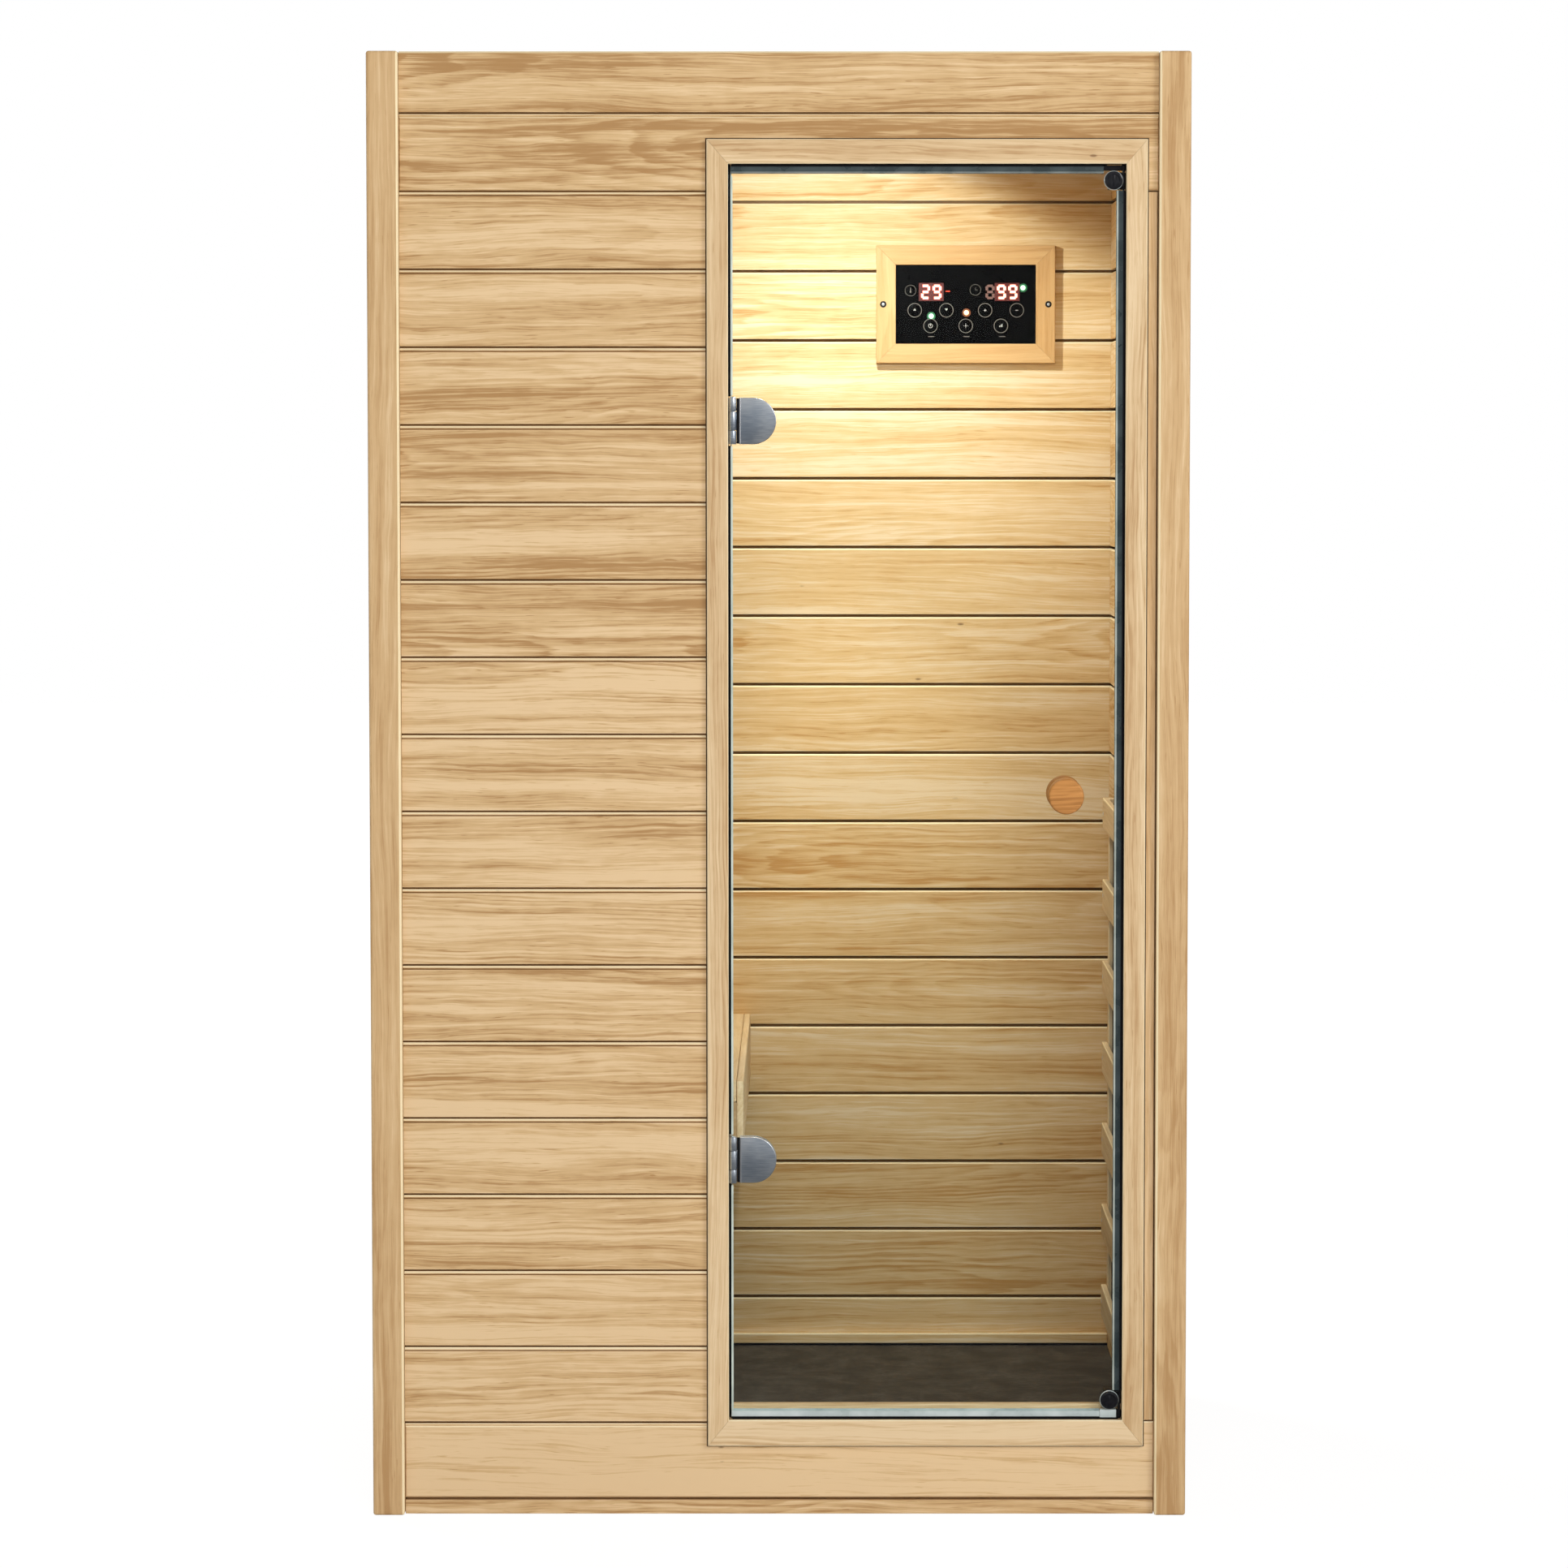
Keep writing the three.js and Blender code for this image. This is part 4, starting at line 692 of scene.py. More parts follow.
def make_side_cladding(side):
    """Outer boards of a side wall with the base strip under them and the rear corner stile."""
    facing = X_AXIS if side == "right" else -X_AXIS
    low, high = box(f"{side}_wall_panel")
    post_low, post_high = box(f"{side}_front_post")
    rear_low, rear_high = box("rear_wall_panel")
    front_low = box("front_outer_boards")[0]
    chance = random.Random(f"{side} cladding")
    stile_front = rear_high.y + 10 * MM - (post_high.y - post_low.y)
    inset = 3 * MM
    thickness = CLADDING_THICKNESS
    outer = high.x - inset if side == "right" else -low.x - inset
    sign = facing.x

    def across(inner_x, outer_x):
        return sorted((sign * inner_x, sign * outer_x))

    bm = start_piece()
    board_x = across(outer - thickness, outer)
    lay_wall(bm, Vector((board_x[0], low.y, front_low.z)), Vector((board_x[1], stile_front, high.z)), facing,
             front_low.z + BOARD_PITCH, chance, bead=True)
    inner = abs(post_low.x) if side == "right" else abs(post_high.x)
    strip_x = across(inner, outer - MM)
    add_timber(bm, (strip_x[0], low.y, 0), (strip_x[1], stile_front, BASE_THICKNESS), Y_AXIS, facing, chance)
    stile_x = across(inner, outer + inset)
    add_timber(bm, (stile_x[0], stile_front + HAIRLINE, 0), (stile_x[1], high.y, high.z), Z_AXIS, facing, chance,
               POST_EDGE)
    rail_x = across(inner, outer - thickness - HAIRLINE)
    for rail_low in (BASE_THICKNESS, box("roof_cover")[0].z - FIT - 45 * MM):
        add_timber(bm, (rail_x[0], low.y, rail_low + HAIRLINE), (rail_x[1], stile_front, rail_low + 45 * MM), Y_AXIS,
                   facing, chance)
    wall = finish_piece(bm, f"{side}_cladding", CLADDING, "cabin", [f"{side}_wall_panel"])
    finish_joints(wall, facing, outer, highlighted=False)


def make_rear_cladding():
    low, high = box("rear_wall_panel")
    front_low = box("front_outer_boards")[0]
    chance = random.Random("rear cladding")
    thickness = CLADDING_THICKNESS
    bm = start_piece()
    lay_wall(bm, Vector((low.x, high.y - thickness, front_low.z)), high, Y_AXIS, front_low.z + BOARD_PITCH, chance,
             bead=True)
    rail_top = box("roof_cover")[0].z - FIT
    for rail_low in (low.z, rail_top - 45 * MM):
        add_timber(bm, (low.x, low.y, rail_low), (high.x, high.y - thickness - HAIRLINE, rail_low + 45 * MM), X_AXIS,
                   Y_AXIS, chance)
    wall = finish_piece(bm, "rear_cladding", CLADDING, "cabin", ["rear_wall_panel"])
    finish_joints(wall, Y_AXIS, high.y, highlighted=False)


def make_linings():
    for node, facing in (("left_inner_boards", X_AXIS), ("right_inner_boards", -X_AXIS),
                         ("rear_inner_boards", -Y_AXIS)):
        low, high = box(node)
        bm = start_piece()
        lay_wall(bm, low, high, facing, FIRST_INNER_JOINT, random.Random(node), LINING_GAP)
        name = node.replace("inner_boards", "lining")
        lining = finish_piece(bm, name, LINING, "cabin", [node])
        finish_joints(lining, facing, max(low.dot(facing), high.dot(facing)), LINING_JOINT_SHADE)


def make_front_lining():
    """Inner boards beside, over and under the doorway."""
    low, high = box("front_inner_boards")
    frame_low, frame_high = box("door_frame")
    chance = random.Random("front lining")
    bm = start_piece()
    left_high = Vector((frame_low.x - FIT, high.y, high.z))
    lay_wall(bm, low, left_high, Y_AXIS, FIRST_INNER_JOINT, chance)
    right_low = Vector((frame_high.x + FIT, low.y, low.z))
    lay_wall(bm, right_low, high, Y_AXIS, FIRST_INNER_JOINT, chance)
    under_low = Vector((left_high.x + HAIRLINE, low.y, low.z))
    under_high = Vector((right_low.x - HAIRLINE, high.y, frame_low.z - FIT))
    lay_wall(bm, under_low, under_high, Y_AXIS, FIRST_INNER_JOINT, chance)
    over_low = Vector((under_low.x, low.y, frame_high.z + FIT))
    over_high = Vector((under_high.x, high.y, high.z))
    lay_wall(bm, over_low, over_high, Y_AXIS, FIRST_INNER_JOINT, chance)
    finish_piece(bm, "front_lining", LINING, "cabin", ["front_inner_boards"])


def make_ceiling():
    low, high = box("ceiling_panel")
    chance = random.Random("ceiling")
    bm = start_piece()
    rows = board_rows(low.y, high.y, CEILING_JOINT)
    origin = Vector((low.x, 0, high.z))
    lay_boards(bm, rows, high.z - low.z, origin, Y_AXIS, -Z_AXIS, Vector((high.x - low.x, 0, 0)), chance)
    finish_piece(bm, "ceiling_boards", LINING, "cabin", ["ceiling_panel"])


# Posts, casing and door frame
def make_posts():
    for side in ("left", "right"):
        bm = start_piece()
        add_timber(bm, *box(f"{side}_front_post"), Z_AXIS, -Y_AXIS, random.Random(f"{side} post 2"), POST_EDGE)
        post = finish_piece(bm, f"{side}_corner_post", POSTS, "cabin", [f"{side}_front_post"])
        inward = 1 if side == "left" else -1
        # Painted highlight on the post's inner eased edge
        mark_faces(post, PAINTED_HIGHLIGHT, lambda facing, spot: facing.x * inward > 0.25 and facing.y < -0.25)
    bm = start_piece()
    low, high = box("front_filler_strip")
    groove = 1.6 * MM
    add_block(bm, low + Vector((0, 0, groove)), high - Vector((groove, 0, groove)), SAWN_EDGE)
    # Darkest board tone: painted shade on the strip recessed beside the casing
    lay_grain(bm, Z_AXIS, -Y_AXIS, random.Random("filler"), 1.0)
    finish_piece(bm, "filler_board", POSTS, "cabin", ["front_filler_strip"])


def mitred_ring(outer_low, outer_high, inner_low, inner_high):
    """The four trapezoids of a mitred frame in X and Z, by their place in it."""
    gap = MITRE_GAP
    ol, ob, orr, ot = outer_low[0], outer_low[1], outer_high[0], outer_high[1]
    il, ib, ir, it = inner_low[0], inner_low[1], inner_high[0], inner_high[1]
    return {
        "left": [(ol, ob + gap), (il, ib + gap), (il, it - gap), (ol, ot - gap)],
        "right": [(ir, ib + gap), (orr, ob + gap), (orr, ot - gap), (ir, it - gap)],
        "head": [(il + gap, it), (ir - gap, it), (orr - gap, ot), (ol + gap, ot)],
        "sill": [(ol + gap, ob), (orr - gap, ob), (ir - gap, ib), (il + gap, ib)],
    }


# Board tone of each casing piece; the sill's pale tone is painted light from the floor below
CASING_TONE_AND_LIGHT = {"left": 0.5, "right": 0.6, "head": 0.8, "sill": -0.5}


def make_casing():
    left, right = box("casing_left"), box("casing_right")
    head, sill = box("casing_head"), box("casing_sill")
    ring = mitred_ring((left[0].x, sill[0].z), (right[1].x, head[1].z), (left[1].x, sill[1].z),
                       (right[0].x, head[0].z))
    for place, outline in ring.items():
        bm = start_piece()
        add_plate(bm, outline, left[1].y, left[0].y, CASING_EDGE, 3, True)
        along = Z_AXIS if place in ("left", "right") else X_AXIS
        lay_grain(bm, along, -Y_AXIS, random.Random(f"casing {place}"), CASING_TONE_AND_LIGHT[place])
        piece = finish_piece(bm, f"door_casing_{place}", CASING, "cabin", [f"casing_{place}"])
        # Painted highlight on the casing's eased edges
        mark_faces(piece, PAINTED_HIGHLIGHT, lambda facing, spot: -0.95 < facing.y < -0.2)

    # A thin dark strip round the casing's outside: painted shadow under its edges
    face = box("front_outer_boards")[0].y
    bm = start_piece()
    x0, x1, z0, z1 = left[0].x, right[1].x, sill[0].z, head[1].z
    line = CASING_SHADOW_WIDTH
    for low, high in (((x0 - line, z0 - line), (x0, z1 + line)), ((x1, z0 - line), (x1 + line, z1 + line)),
                      ((x0, z0 - line), (x1, z0)), ((x0, z1), (x1, z1 + line))):
        add_block(bm, (low[0], face - 0.2 * MM, low[1]), (high[0], face - HAIRLINE, high[1]), 0)
    finish_piece(bm, "casing_sealant", CASING_SHADOW, "cabin")


def make_door_frame():
    """Jambs, head and sill of the doorway, and the stop across its foot."""
    low, high = box("door_frame")
    inner_low_x, inner_high_x = box("casing_left")[1].x, box("casing_right")[0].x
    inner_low_z, inner_high_z = box("casing_sill")[1].z, box("casing_head")[0].z
    stop_front = box("seal_bottom")[1].y + 0.5 * MM
    chance = random.Random("door frame")
    bm = start_piece()
    for x0, x1 in ((low.x, inner_low_x), (inner_high_x, high.x)):
        add_timber(bm, (x0, low.y, inner_low_z), (x1, high.y, inner_high_z), Z_AXIS, -Y_AXIS, chance)
    for z0, z1 in ((low.z, inner_low_z), (inner_high_z, high.z)):
        add_timber(bm, (low.x, low.y, z0), (high.x, high.y, z1), X_AXIS, -Y_AXIS, chance)
    add_timber(bm, (inner_low_x, stop_front, inner_low_z), (inner_high_x, stop_front + 12 * MM, inner_low_z + 18 * MM),
               X_AXIS, -Y_AXIS, chance)
    finish_piece(bm, "doorway_lining", CASING, "cabin", ["door_frame"])


def make_doorway_gasket():
    """Black rubber on the doorway's faces and a bulb behind the edge of the glass, clear of leaves and magnets; its
    black also paints the shade in the gap round the glass.
    """
    left, right = box("casing_left")[1].x, box("casing_right")[0].x
    bottom, top = box("casing_sill")[1].z, box("casing_head")[0].z
    front = box("door_frame")[0].y
    bulb_front = box("seal_bottom")[1].y + 0.3 * MM
    bulb_back = bulb_front + 4 * MM
    lining, bulb = 0.5 * MM, 4.5 * MM
    spare = 1.5 * MM

    def clear_runs(nodes):
        """Runs of height beside the given nodes."""
        levels = [bottom]
        for low, high in sorted((box(n) for n in nodes), key=lambda b: b[0].z):
            levels += [low.z - spare, high.z + spare]
        levels.append(top)
        return [(a, b) for a, b in zip(levels[::2], levels[1::2]) if b > a]

    bm = start_piece()
    for z0, z1 in clear_runs(["upper_hinge_jamb_leaf", "lower_hinge_jamb_leaf"]):
        add_block(bm, (left, front, z0), (left + lining, bulb_back, z1), 0.1 * MM)
        add_block(bm, (left + lining / 2, bulb_front, z0), (left + EDGE_STRIP, bulb_back, z1), 0.8 * MM)
    for z0, z1 in clear_runs(["top_magnet", "bottom_magnet"]):
        add_block(bm, (right - lining, front, z0), (right, bulb_back, z1), 0.1 * MM)
        add_block(bm, (right - bulb, bulb_front, z0), (right - lining / 2, bulb_back, z1), 0.8 * MM)
    add_block(bm, (left + bulb, front, top - lining), (right - bulb, bulb_back, top), 0.1 * MM)
    head_end = box("top_magnet")[0].x - spare
    add_block(bm, (left + bulb, bulb_front, top - bulb), (head_end, bulb_back, top - lining / 2), 0.8 * MM)
    add_block(bm, (left + bulb, front, bottom), (right - bulb, bulb_front, bottom + lining), 0.1 * MM)
    finish_piece(bm, "doorway_gasket", BLACK, "cabin")


# Floor, roof and framing
def make_floor():
    low, high = box("floor_base")
    mat_low, mat_high = box("floor_mat")
    chance = random.Random("floor")
    bm = start_piece()
    add_timber(bm, (low.x, low.y, 0), (high.x, mat_low.y, BASE_THICKNESS), X_AXIS, -Y_AXIS, chance)
    add_timber(bm, (low.x, mat_high.y, 0), (high.x, high.y, BASE_THICKNESS), X_AXIS, -Y_AXIS, chance)
    deck_under = high.z - BASE_THICKNESS
    add_timber(bm, (mat_low.x, mat_low.y, deck_under), (mat_high.x, mat_high.y, high.z), X_AXIS, Z_AXIS, chance)
    for y0, y1 in ((mat_low.y, mat_low.y + JOIST_WIDTH), (mat_high.y - JOIST_WIDTH, mat_high.y)):
        add_timber(bm, (mat_low.x, y0, 0), (mat_high.x, y1, deck_under), X_AXIS, -Y_AXIS, chance)
    step = (mat_high.x - mat_low.x - JOIST_WIDTH) / 4
    for i in range(5):
        x0 = mat_low.x + i * step
        add_timber(bm, (x0, mat_low.y + JOIST_WIDTH, 0), (x0 + JOIST_WIDTH, mat_high.y - JOIST_WIDTH, deck_under),
                   Y_AXIS, X_AXIS, chance)
    finish_piece(bm, "floor_deck", CLADDING, "cabin", ["floor_base"])

    bm = start_piece()
    add_block(bm, mat_low, mat_high, 1.6 * MM, 3)
    finish_piece(bm, "deck_mat", MAT, "cabin", ["floor_mat"])

    # A black strip between the mat and the skirting: painted shade in the gap there
    bm = start_piece()
    skirt_low, skirt_high = box("rear_skirting")
    add_block(bm, (skirt_low.x, skirt_low.y + 1.5 * MM, mat_high.z), (skirt_high.x, mat_high.y, skirt_low.z), 0.2 * MM)
    finish_piece(bm, "mat_edge", BLACK, "cabin")

    bm = start_piece()
    add_timber(bm, skirt_low, skirt_high, X_AXIS, -Y_AXIS, chance, CASING_EDGE)
    skirting = finish_piece(bm, "skirting_strip", LINING, "cabin", ["rear_skirting"])
    # Painted highlight on the skirting's upper edge
    mark_faces(skirting, PAINTED_HIGHLIGHT, lambda facing, spot: facing.z > 0.25 and facing.y < -0.25)


def make_roof():
    low, high = box("roof_cover")
    rear_low = box("rear_wall_panel")[0]
    left_low, left_high = box("left_wall_panel")
    chance = random.Random("roof")
    bm = start_piece()
    add_timber(bm, (low.x, left_low.y, low.z), (high.x, rear_low.y, high.z), X_AXIS, Z_AXIS, chance)
    add_timber(bm, (rear_low.x, low.y, low.z), (-rear_low.x, left_low.y - HAIRLINE, high.z), X_AXIS, Z_AXIS, chance)
    add_timber(bm, (rear_low.x, rear_low.y + HAIRLINE, low.z), (-rear_low.x, high.y, high.z), X_AXIS, Z_AXIS, chance)
    finish_piece(bm, "roof_sheet", FRAMING, "cabin", ["roof_cover"])

    bm = start_piece()
    inset = 30 * MM
    for x in (low.x + inset, low.x / 3, -low.x / 3, high.x - inset):
        for y in (left_low.y + inset, rear_low.y - inset):
            add_screw(bm, Vector((x, y, high.z)), Z_AXIS, X_AXIS)
    finish_piece(bm, "roof_screws", STEEL, "cabin", smooth_angle=35)

    bm = start_piece()
    front_low, front_high = box("front_frame")
    frame_low, frame_high = box("door_frame")
    left, right = frame_low.x - FIT, frame_high.x + FIT
    bottom, top = frame_low.z - FIT, frame_high.z + FIT
    stud = 30 * MM
    add_timber(bm, front_low, (front_high.x, front_high.y, bottom), X_AXIS, Y_AXIS, chance)
    add_timber(bm, (front_low.x, front_low.y, top), front_high, X_AXIS, Y_AXIS, chance)
    for x0, x1 in ((front_low.x, front_low.x + stud), (left - stud, left), (right, front_high.x)):
        add_timber(bm, (x0, front_low.y, bottom), (x1, front_high.y, top), Z_AXIS, Y_AXIS, chance)
    finish_piece(bm, "front_studs", FRAMING, "cabin", ["front_frame"])


def add_screw(bm, seat, out, slot_way, rim=SCREW_RADIUS):
    """A countersunk screw head with a cross recess, a little proud of its seat."""
    profile = [(0, 0.55 * MM), (rim * 0.55, 0.5 * MM), (rim * 0.95, 0.25 * MM), (rim, 0), (rim * 0.9, -0.3 * MM),
               (0, -0.3 * MM)]
    add_turned(bm, profile, seat, out, 24)
    other = out.cross(slot_way)
    for long, short in ((slot_way, other), (other, slot_way)):
        reach = [abs(a) * rim * 0.55 + abs(b) * rim * 0.1 + abs(c) * 0.08 * MM
                 for a, b, c in zip(long, short, out)]
        centre = seat + out * 0.56 * MM
        add_block(bm, centre - Vector(reach), centre + Vector(reach), 0)


# Heaters and bench
def make_heater(name, side):
    """A heater sheet with its edge binding, and the slatted guard on battens in front of it."""
    sheet_low, sheet_high = box(f"{name}_heater")
    low, high = box(f"{name}_heater_guard")
    chance = random.Random(f"{name} guard")
    bm = start_piece()
    add_block(bm, sheet_low, sheet_high, 0.8 * MM)
    finish_piece(bm, f"{name}_heater_sheet", HEATER, "cabin", [f"{name}_heater"])

    facing = X_AXIS * -side
    face = low.x if side > 0 else high.x
    slat_x = sorted((face, face + side * GUARD_SLAT_THICKNESS))
    batten_x = sorted((face + side * (GUARD_SLAT_THICKNESS + HAIRLINE), high.x if side > 0 else low.x))
    bm = start_piece()
    slats = round((high.z - low.z - GUARD_SLAT_HEIGHT) / GUARD_SLAT_PITCH) + 1
    for i in range(slats):
        z = low.z + i * GUARD_SLAT_PITCH
        add_timber(bm, (slat_x[0], low.y, z), (slat_x[1], high.y, z + GUARD_SLAT_HEIGHT), Y_AXIS, facing, chance,
                   SLAT_EDGE)
    for y in (low.y, high.y - GUARD_BATTEN_WIDTH):
        add_timber(bm, (batten_x[0], y, low.z), (batten_x[1], y + GUARD_BATTEN_WIDTH, high.z), Z_AXIS, facing, chance)
    guard = finish_piece(bm, f"{name}_guard", BENCH, "cabin", [f"{name}_heater_guard"])
    # Painted highlight on the guard slats' eased edges
    mark_faces(guard, PAINTED_HIGHLIGHT, lambda way, spot: way.dot(facing) > 0.25 and (way.z > 0.25 or way.y < -0.25))

    bm = start_piece()
    for i in range(slats):
        z = low.z + i * GUARD_SLAT_PITCH + GUARD_SLAT_HEIGHT / 2
        for y in (low.y + GUARD_BATTEN_WIDTH / 2, high.y - GUARD_BATTEN_WIDTH / 2):
            add_screw(bm, Vector((face, y, z)), facing, Y_AXIS)
    finish_piece(bm, f"{name}_guard_screws", STEEL, "cabin", smooth_angle=35)


def make_bench():
    seat_low, seat_high = box("bench_seat")
    low, high = box("bench_frame")
    chance = random.Random("bench")
    bm = start_piece()
    slat = (seat_high.x - seat_low.x - (SEAT_SLATS - 1) * SEAT_SLAT_GAP) / SEAT_SLATS
    for i in range(SEAT_SLATS):
        x = seat_low.x + i * (slat + SEAT_SLAT_GAP)
        add_timber(bm, (x, seat_low.y, seat_high.z - SEAT_THICKNESS), (x + slat, seat_high.y, seat_high.z), Y_AXIS,
                   Z_AXIS, chance, 2.2 * MM)
    step = (high.y - low.y - BENCH_RAIL_WIDTH) / (BENCH_RAILS - 1)
    bay = step - BENCH_RAIL_WIDTH
    for i in (0, BENCH_RAILS - 2):
        y = low.y + i * step + BENCH_RAIL_WIDTH + (bay - SEAT_BATTEN_WIDTH) / 2
        add_timber(bm, (seat_low.x, y, seat_low.z),
                   (seat_high.x, y + SEAT_BATTEN_WIDTH, seat_high.z - SEAT_THICKNESS - HAIRLINE), X_AXIS, Z_AXIS, chance)
    finish_piece(bm, "seat_slats", BENCH, "cabin", ["bench_seat"])

    bm = start_piece()
    apron_back = high.x - APRON_THICKNESS
    add_timber(bm, (apron_back, low.y, low.z), high, Y_AXIS, X_AXIS, chance, 2.0 * MM)
    finish_piece(bm, "bench_apron", BENCH, "cabin", ["bench_frame"])

    bm = start_piece()
    rail_top = seat_high.z - SEAT_THICKNESS - FIT
    for i in range(BENCH_RAILS):
        y = low.y + i * step
        add_timber(bm, (low.x, y, rail_top - BENCH_RAIL_HEIGHT), (apron_back - HAIRLINE, y + BENCH_RAIL_WIDTH, rail_top),
                   X_AXIS, Y_AXIS, chance)
    # The rails under the seat take the darker copy: painted shade
    finish_piece(bm, "bench_rails", BENCH_RAIL_SHADE, "cabin")


# Control panel
DIGIT_SEGMENTS = {"2": "abged", "9": "abcdfg", "8": "abcdefg"}


def segment_boxes(width, height, thick):
    """Centre and half size of a digit's seven bars, in X and Z from its middle."""
    half_w, half_h = width / 2, height / 2
    reach = half_w - thick * 0.65
    rise = half_h / 2 - thick * 0.65
    side = half_w - thick / 2
    level = half_h - thick / 2
    return {
        "a": (0, level, reach, thick / 2), "g": (0, 0, reach, thick / 2), "d": (0, -level, reach, thick / 2),
        "f": (-side, half_h / 2, thick / 2, rise), "b": (side, half_h / 2, thick / 2, rise),
        "e": (-side, -half_h / 2, thick / 2, rise), "c": (side, -half_h / 2, thick / 2, rise),
    }


def add_digit(bm, figure, x, y, z, grow=0.0):
    boxes = segment_boxes(DIGIT_WIDTH, DIGIT_HEIGHT, SEGMENT_WIDTH)
    for name in DIGIT_SEGMENTS[figure]:
        cx, cz, hx, hz = boxes[name]
        low = (x + cx - hx - grow, y - PRINT_THICKNESS, z + cz - hz - grow)
        high = (x + cx + hx + grow, y, z + cz + hz + grow)
        add_block(bm, low, high, 0)


def make_control_panel():
    low, high = box("control_bezel")
    unit_low, unit_high = box("control_unit")
    inner_low = (low.x + BEZEL_BORDER, low.z + BEZEL_BORDER)
    inner_high = (high.x - BEZEL_BORDER, high.z - BEZEL_BORDER)
    bm = start_piece()
    chance = random.Random("bezel")
    for place, outline in mitred_ring((low.x, low.z), (high.x, high.z), inner_low, inner_high).items():
        add_plate(bm, outline, high.y, low.y, BEZEL_EDGE, 3, True)
        lay_grain(bm, Z_AXIS if place in ("left", "right") else X_AXIS, -Y_AXIS, chance)
    finish_piece(bm, "control_surround", BEZEL, "cabin", ["control_bezel"])

    bm = start_piece()
    seats = [Vector((x, low.y, (low.z + high.z) / 2)) for x in
             (low.x + BEZEL_BORDER * 0.35, high.x - BEZEL_BORDER * 0.35)]
    for seat in seats:
        add_screw(bm, seat, -Y_AXIS, X_AXIS, 2.0 * MM)
    finish_piece(bm, "surround_screws", STEEL, "cabin", smooth_angle=35)
    # A dark flat ring round each screw head: painted shade in its countersink
    bm = start_piece()
    for seat in seats:
        add_ring(bm, seat, 2.1 * MM, 2.6 * MM, 0.12 * MM)
    finish_piece(bm, "surround_screw_cups", BLACK, "cabin")

    front = unit_low.y
    bm = start_piece()
    outline = [(inner_low[0] + FIT, inner_low[1] + FIT), (inner_high[0] - FIT, inner_low[1] + FIT),
               (inner_high[0] - FIT, inner_high[1] - FIT), (inner_low[0] + FIT, inner_high[1] - FIT)]
    add_plate(bm, outline, unit_high.y, front, 0.5 * MM)
    finish_piece(bm, "control_body", FACE_BLACK, "cabin", ["control_unit"])
    make_display(Vector(((low.x + high.x) / 2, front, (low.z + high.z) / 2)))
    make_keys()


def make_display(centre):
    """Lit figures, lamps and printed marks on the control face."""
    left_x, right_x, row = centre.x - 50 * MM, centre.x + 60 * MM, centre.z + 18 * MM
    lit = [("2", left_x - DIGIT_STEP / 2), ("9", left_x + DIGIT_STEP / 2),
           ("9", right_x - DIGIT_STEP / 2), ("9", right_x + DIGIT_STEP / 2)]
    glow = start_piece()
    core = start_piece()
    dash = Vector((left_x + 24 * MM, centre.y, row + 1 * MM))
    dash_half = Vector((3.2 * MM, 0, 0.7 * MM))
    add_block(glow, dash - dash_half - Y_AXIS * PRINT_THICKNESS, dash + dash_half, 0)
    for figure, x in lit:
        add_digit(glow, figure, x, centre.y - PRINT_THICKNESS, row, 0.5 * MM)
        add_digit(core, figure, x, centre.y - 2 * PRINT_THICKNESS, row, -0.2 * MM)
    finish_piece(glow, "figure_glow", DIGIT_GLOW, "cabin")
    finish_piece(core, "lit_figures", DIGIT_CORE, "cabin")
    halo = start_piece()
    for x in (left_x, right_x):
        half = Vector((DIGIT_STEP + 1.5 * MM, 0, DIGIT_HEIGHT / 2 + 2.5 * MM))
        spot = Vector((x, centre.y, row))
        add_block(halo, spot - half - Vector((0, PRINT_THICKNESS, 0)), spot + half, 0)
    finish_piece(halo, "figure_halo", DIGIT_HALO, "cabin")
    off = start_piece()
    add_digit(off, "8", right_x - DIGIT_STEP * 1.5, centre.y, row)
    finish_piece(off, "unlit_figure", DIGIT_OFF, "cabin")

    lamps = {"power_lamp": (-50, -17, GREEN_GLOW, GREEN_HALO), "light_lamp": (1, -12, AMBER_GLOW, AMBER_HALO),
             "time_lamp": (83, 24, GREEN_GLOW, GREEN_HALO)}
    for name, (dx, dz, material, halo_material) in lamps.items():
        bm = start_piece()
        radius = 3.6 * MM
        seat = centre + Vector((dx * MM, 0, dz * MM))
        add_turned(bm, [(0, 0), (radius * 1.7, 0), (radius * 1.65, 0.05 * MM), (0, 0.05 * MM)], seat, -Y_AXIS, 32)
        finish_piece(bm, f"{name}_halo", halo_material, "cabin")
        bm = start_piece()
        dome = [(radius * math.cos(a), radius * 0.3 * math.sin(a)) for a in (0, 0.35, 0.7, 1.05, 1.3)]
        profile = [(0, 0), *dome, (0, radius * 0.3)]
        add_turned(bm, profile, seat - Y_AXIS * 0.06 * MM, -Y_AXIS, 24)
        finish_piece(bm, name, material, "cabin", smooth_angle=60)

    bm = start_piece()
    for dx, dz in ((-80, 20), (14, 21)):
        add_ring(bm, centre + Vector((dx * MM, 0, dz * MM)), 7.6 * MM, 0.5 * MM, PRINT_THICKNESS)
    for dx, dz, wide, tall in ((-80, 21.5, 1.0, 5.0), (-80, 18.2, 2.2, 2.2), (14, 22.6, 0.6, 3.6), (15.6, 20.8, 3.2, 0.6)):
        spot = centre + Vector((dx * MM, 0, dz * MM))
        half = Vector((wide / 2 * MM, 0, tall / 2 * MM))
        add_block(bm, spot - half - Vector((0, PRINT_THICKNESS, 0)), spot + half, 0)
    for dx in (-50, 1, 53):
        spot = centre + Vector((dx * MM, 0, -46.5 * MM))
        half = Vector((4.5 * MM, 0, 0.45 * MM))
        add_block(bm, spot - half - Vector((0, PRINT_THICKNESS, 0)), spot + half, 0)
    finish_piece(bm, "face_marks", PRINT_GREY, "cabin")


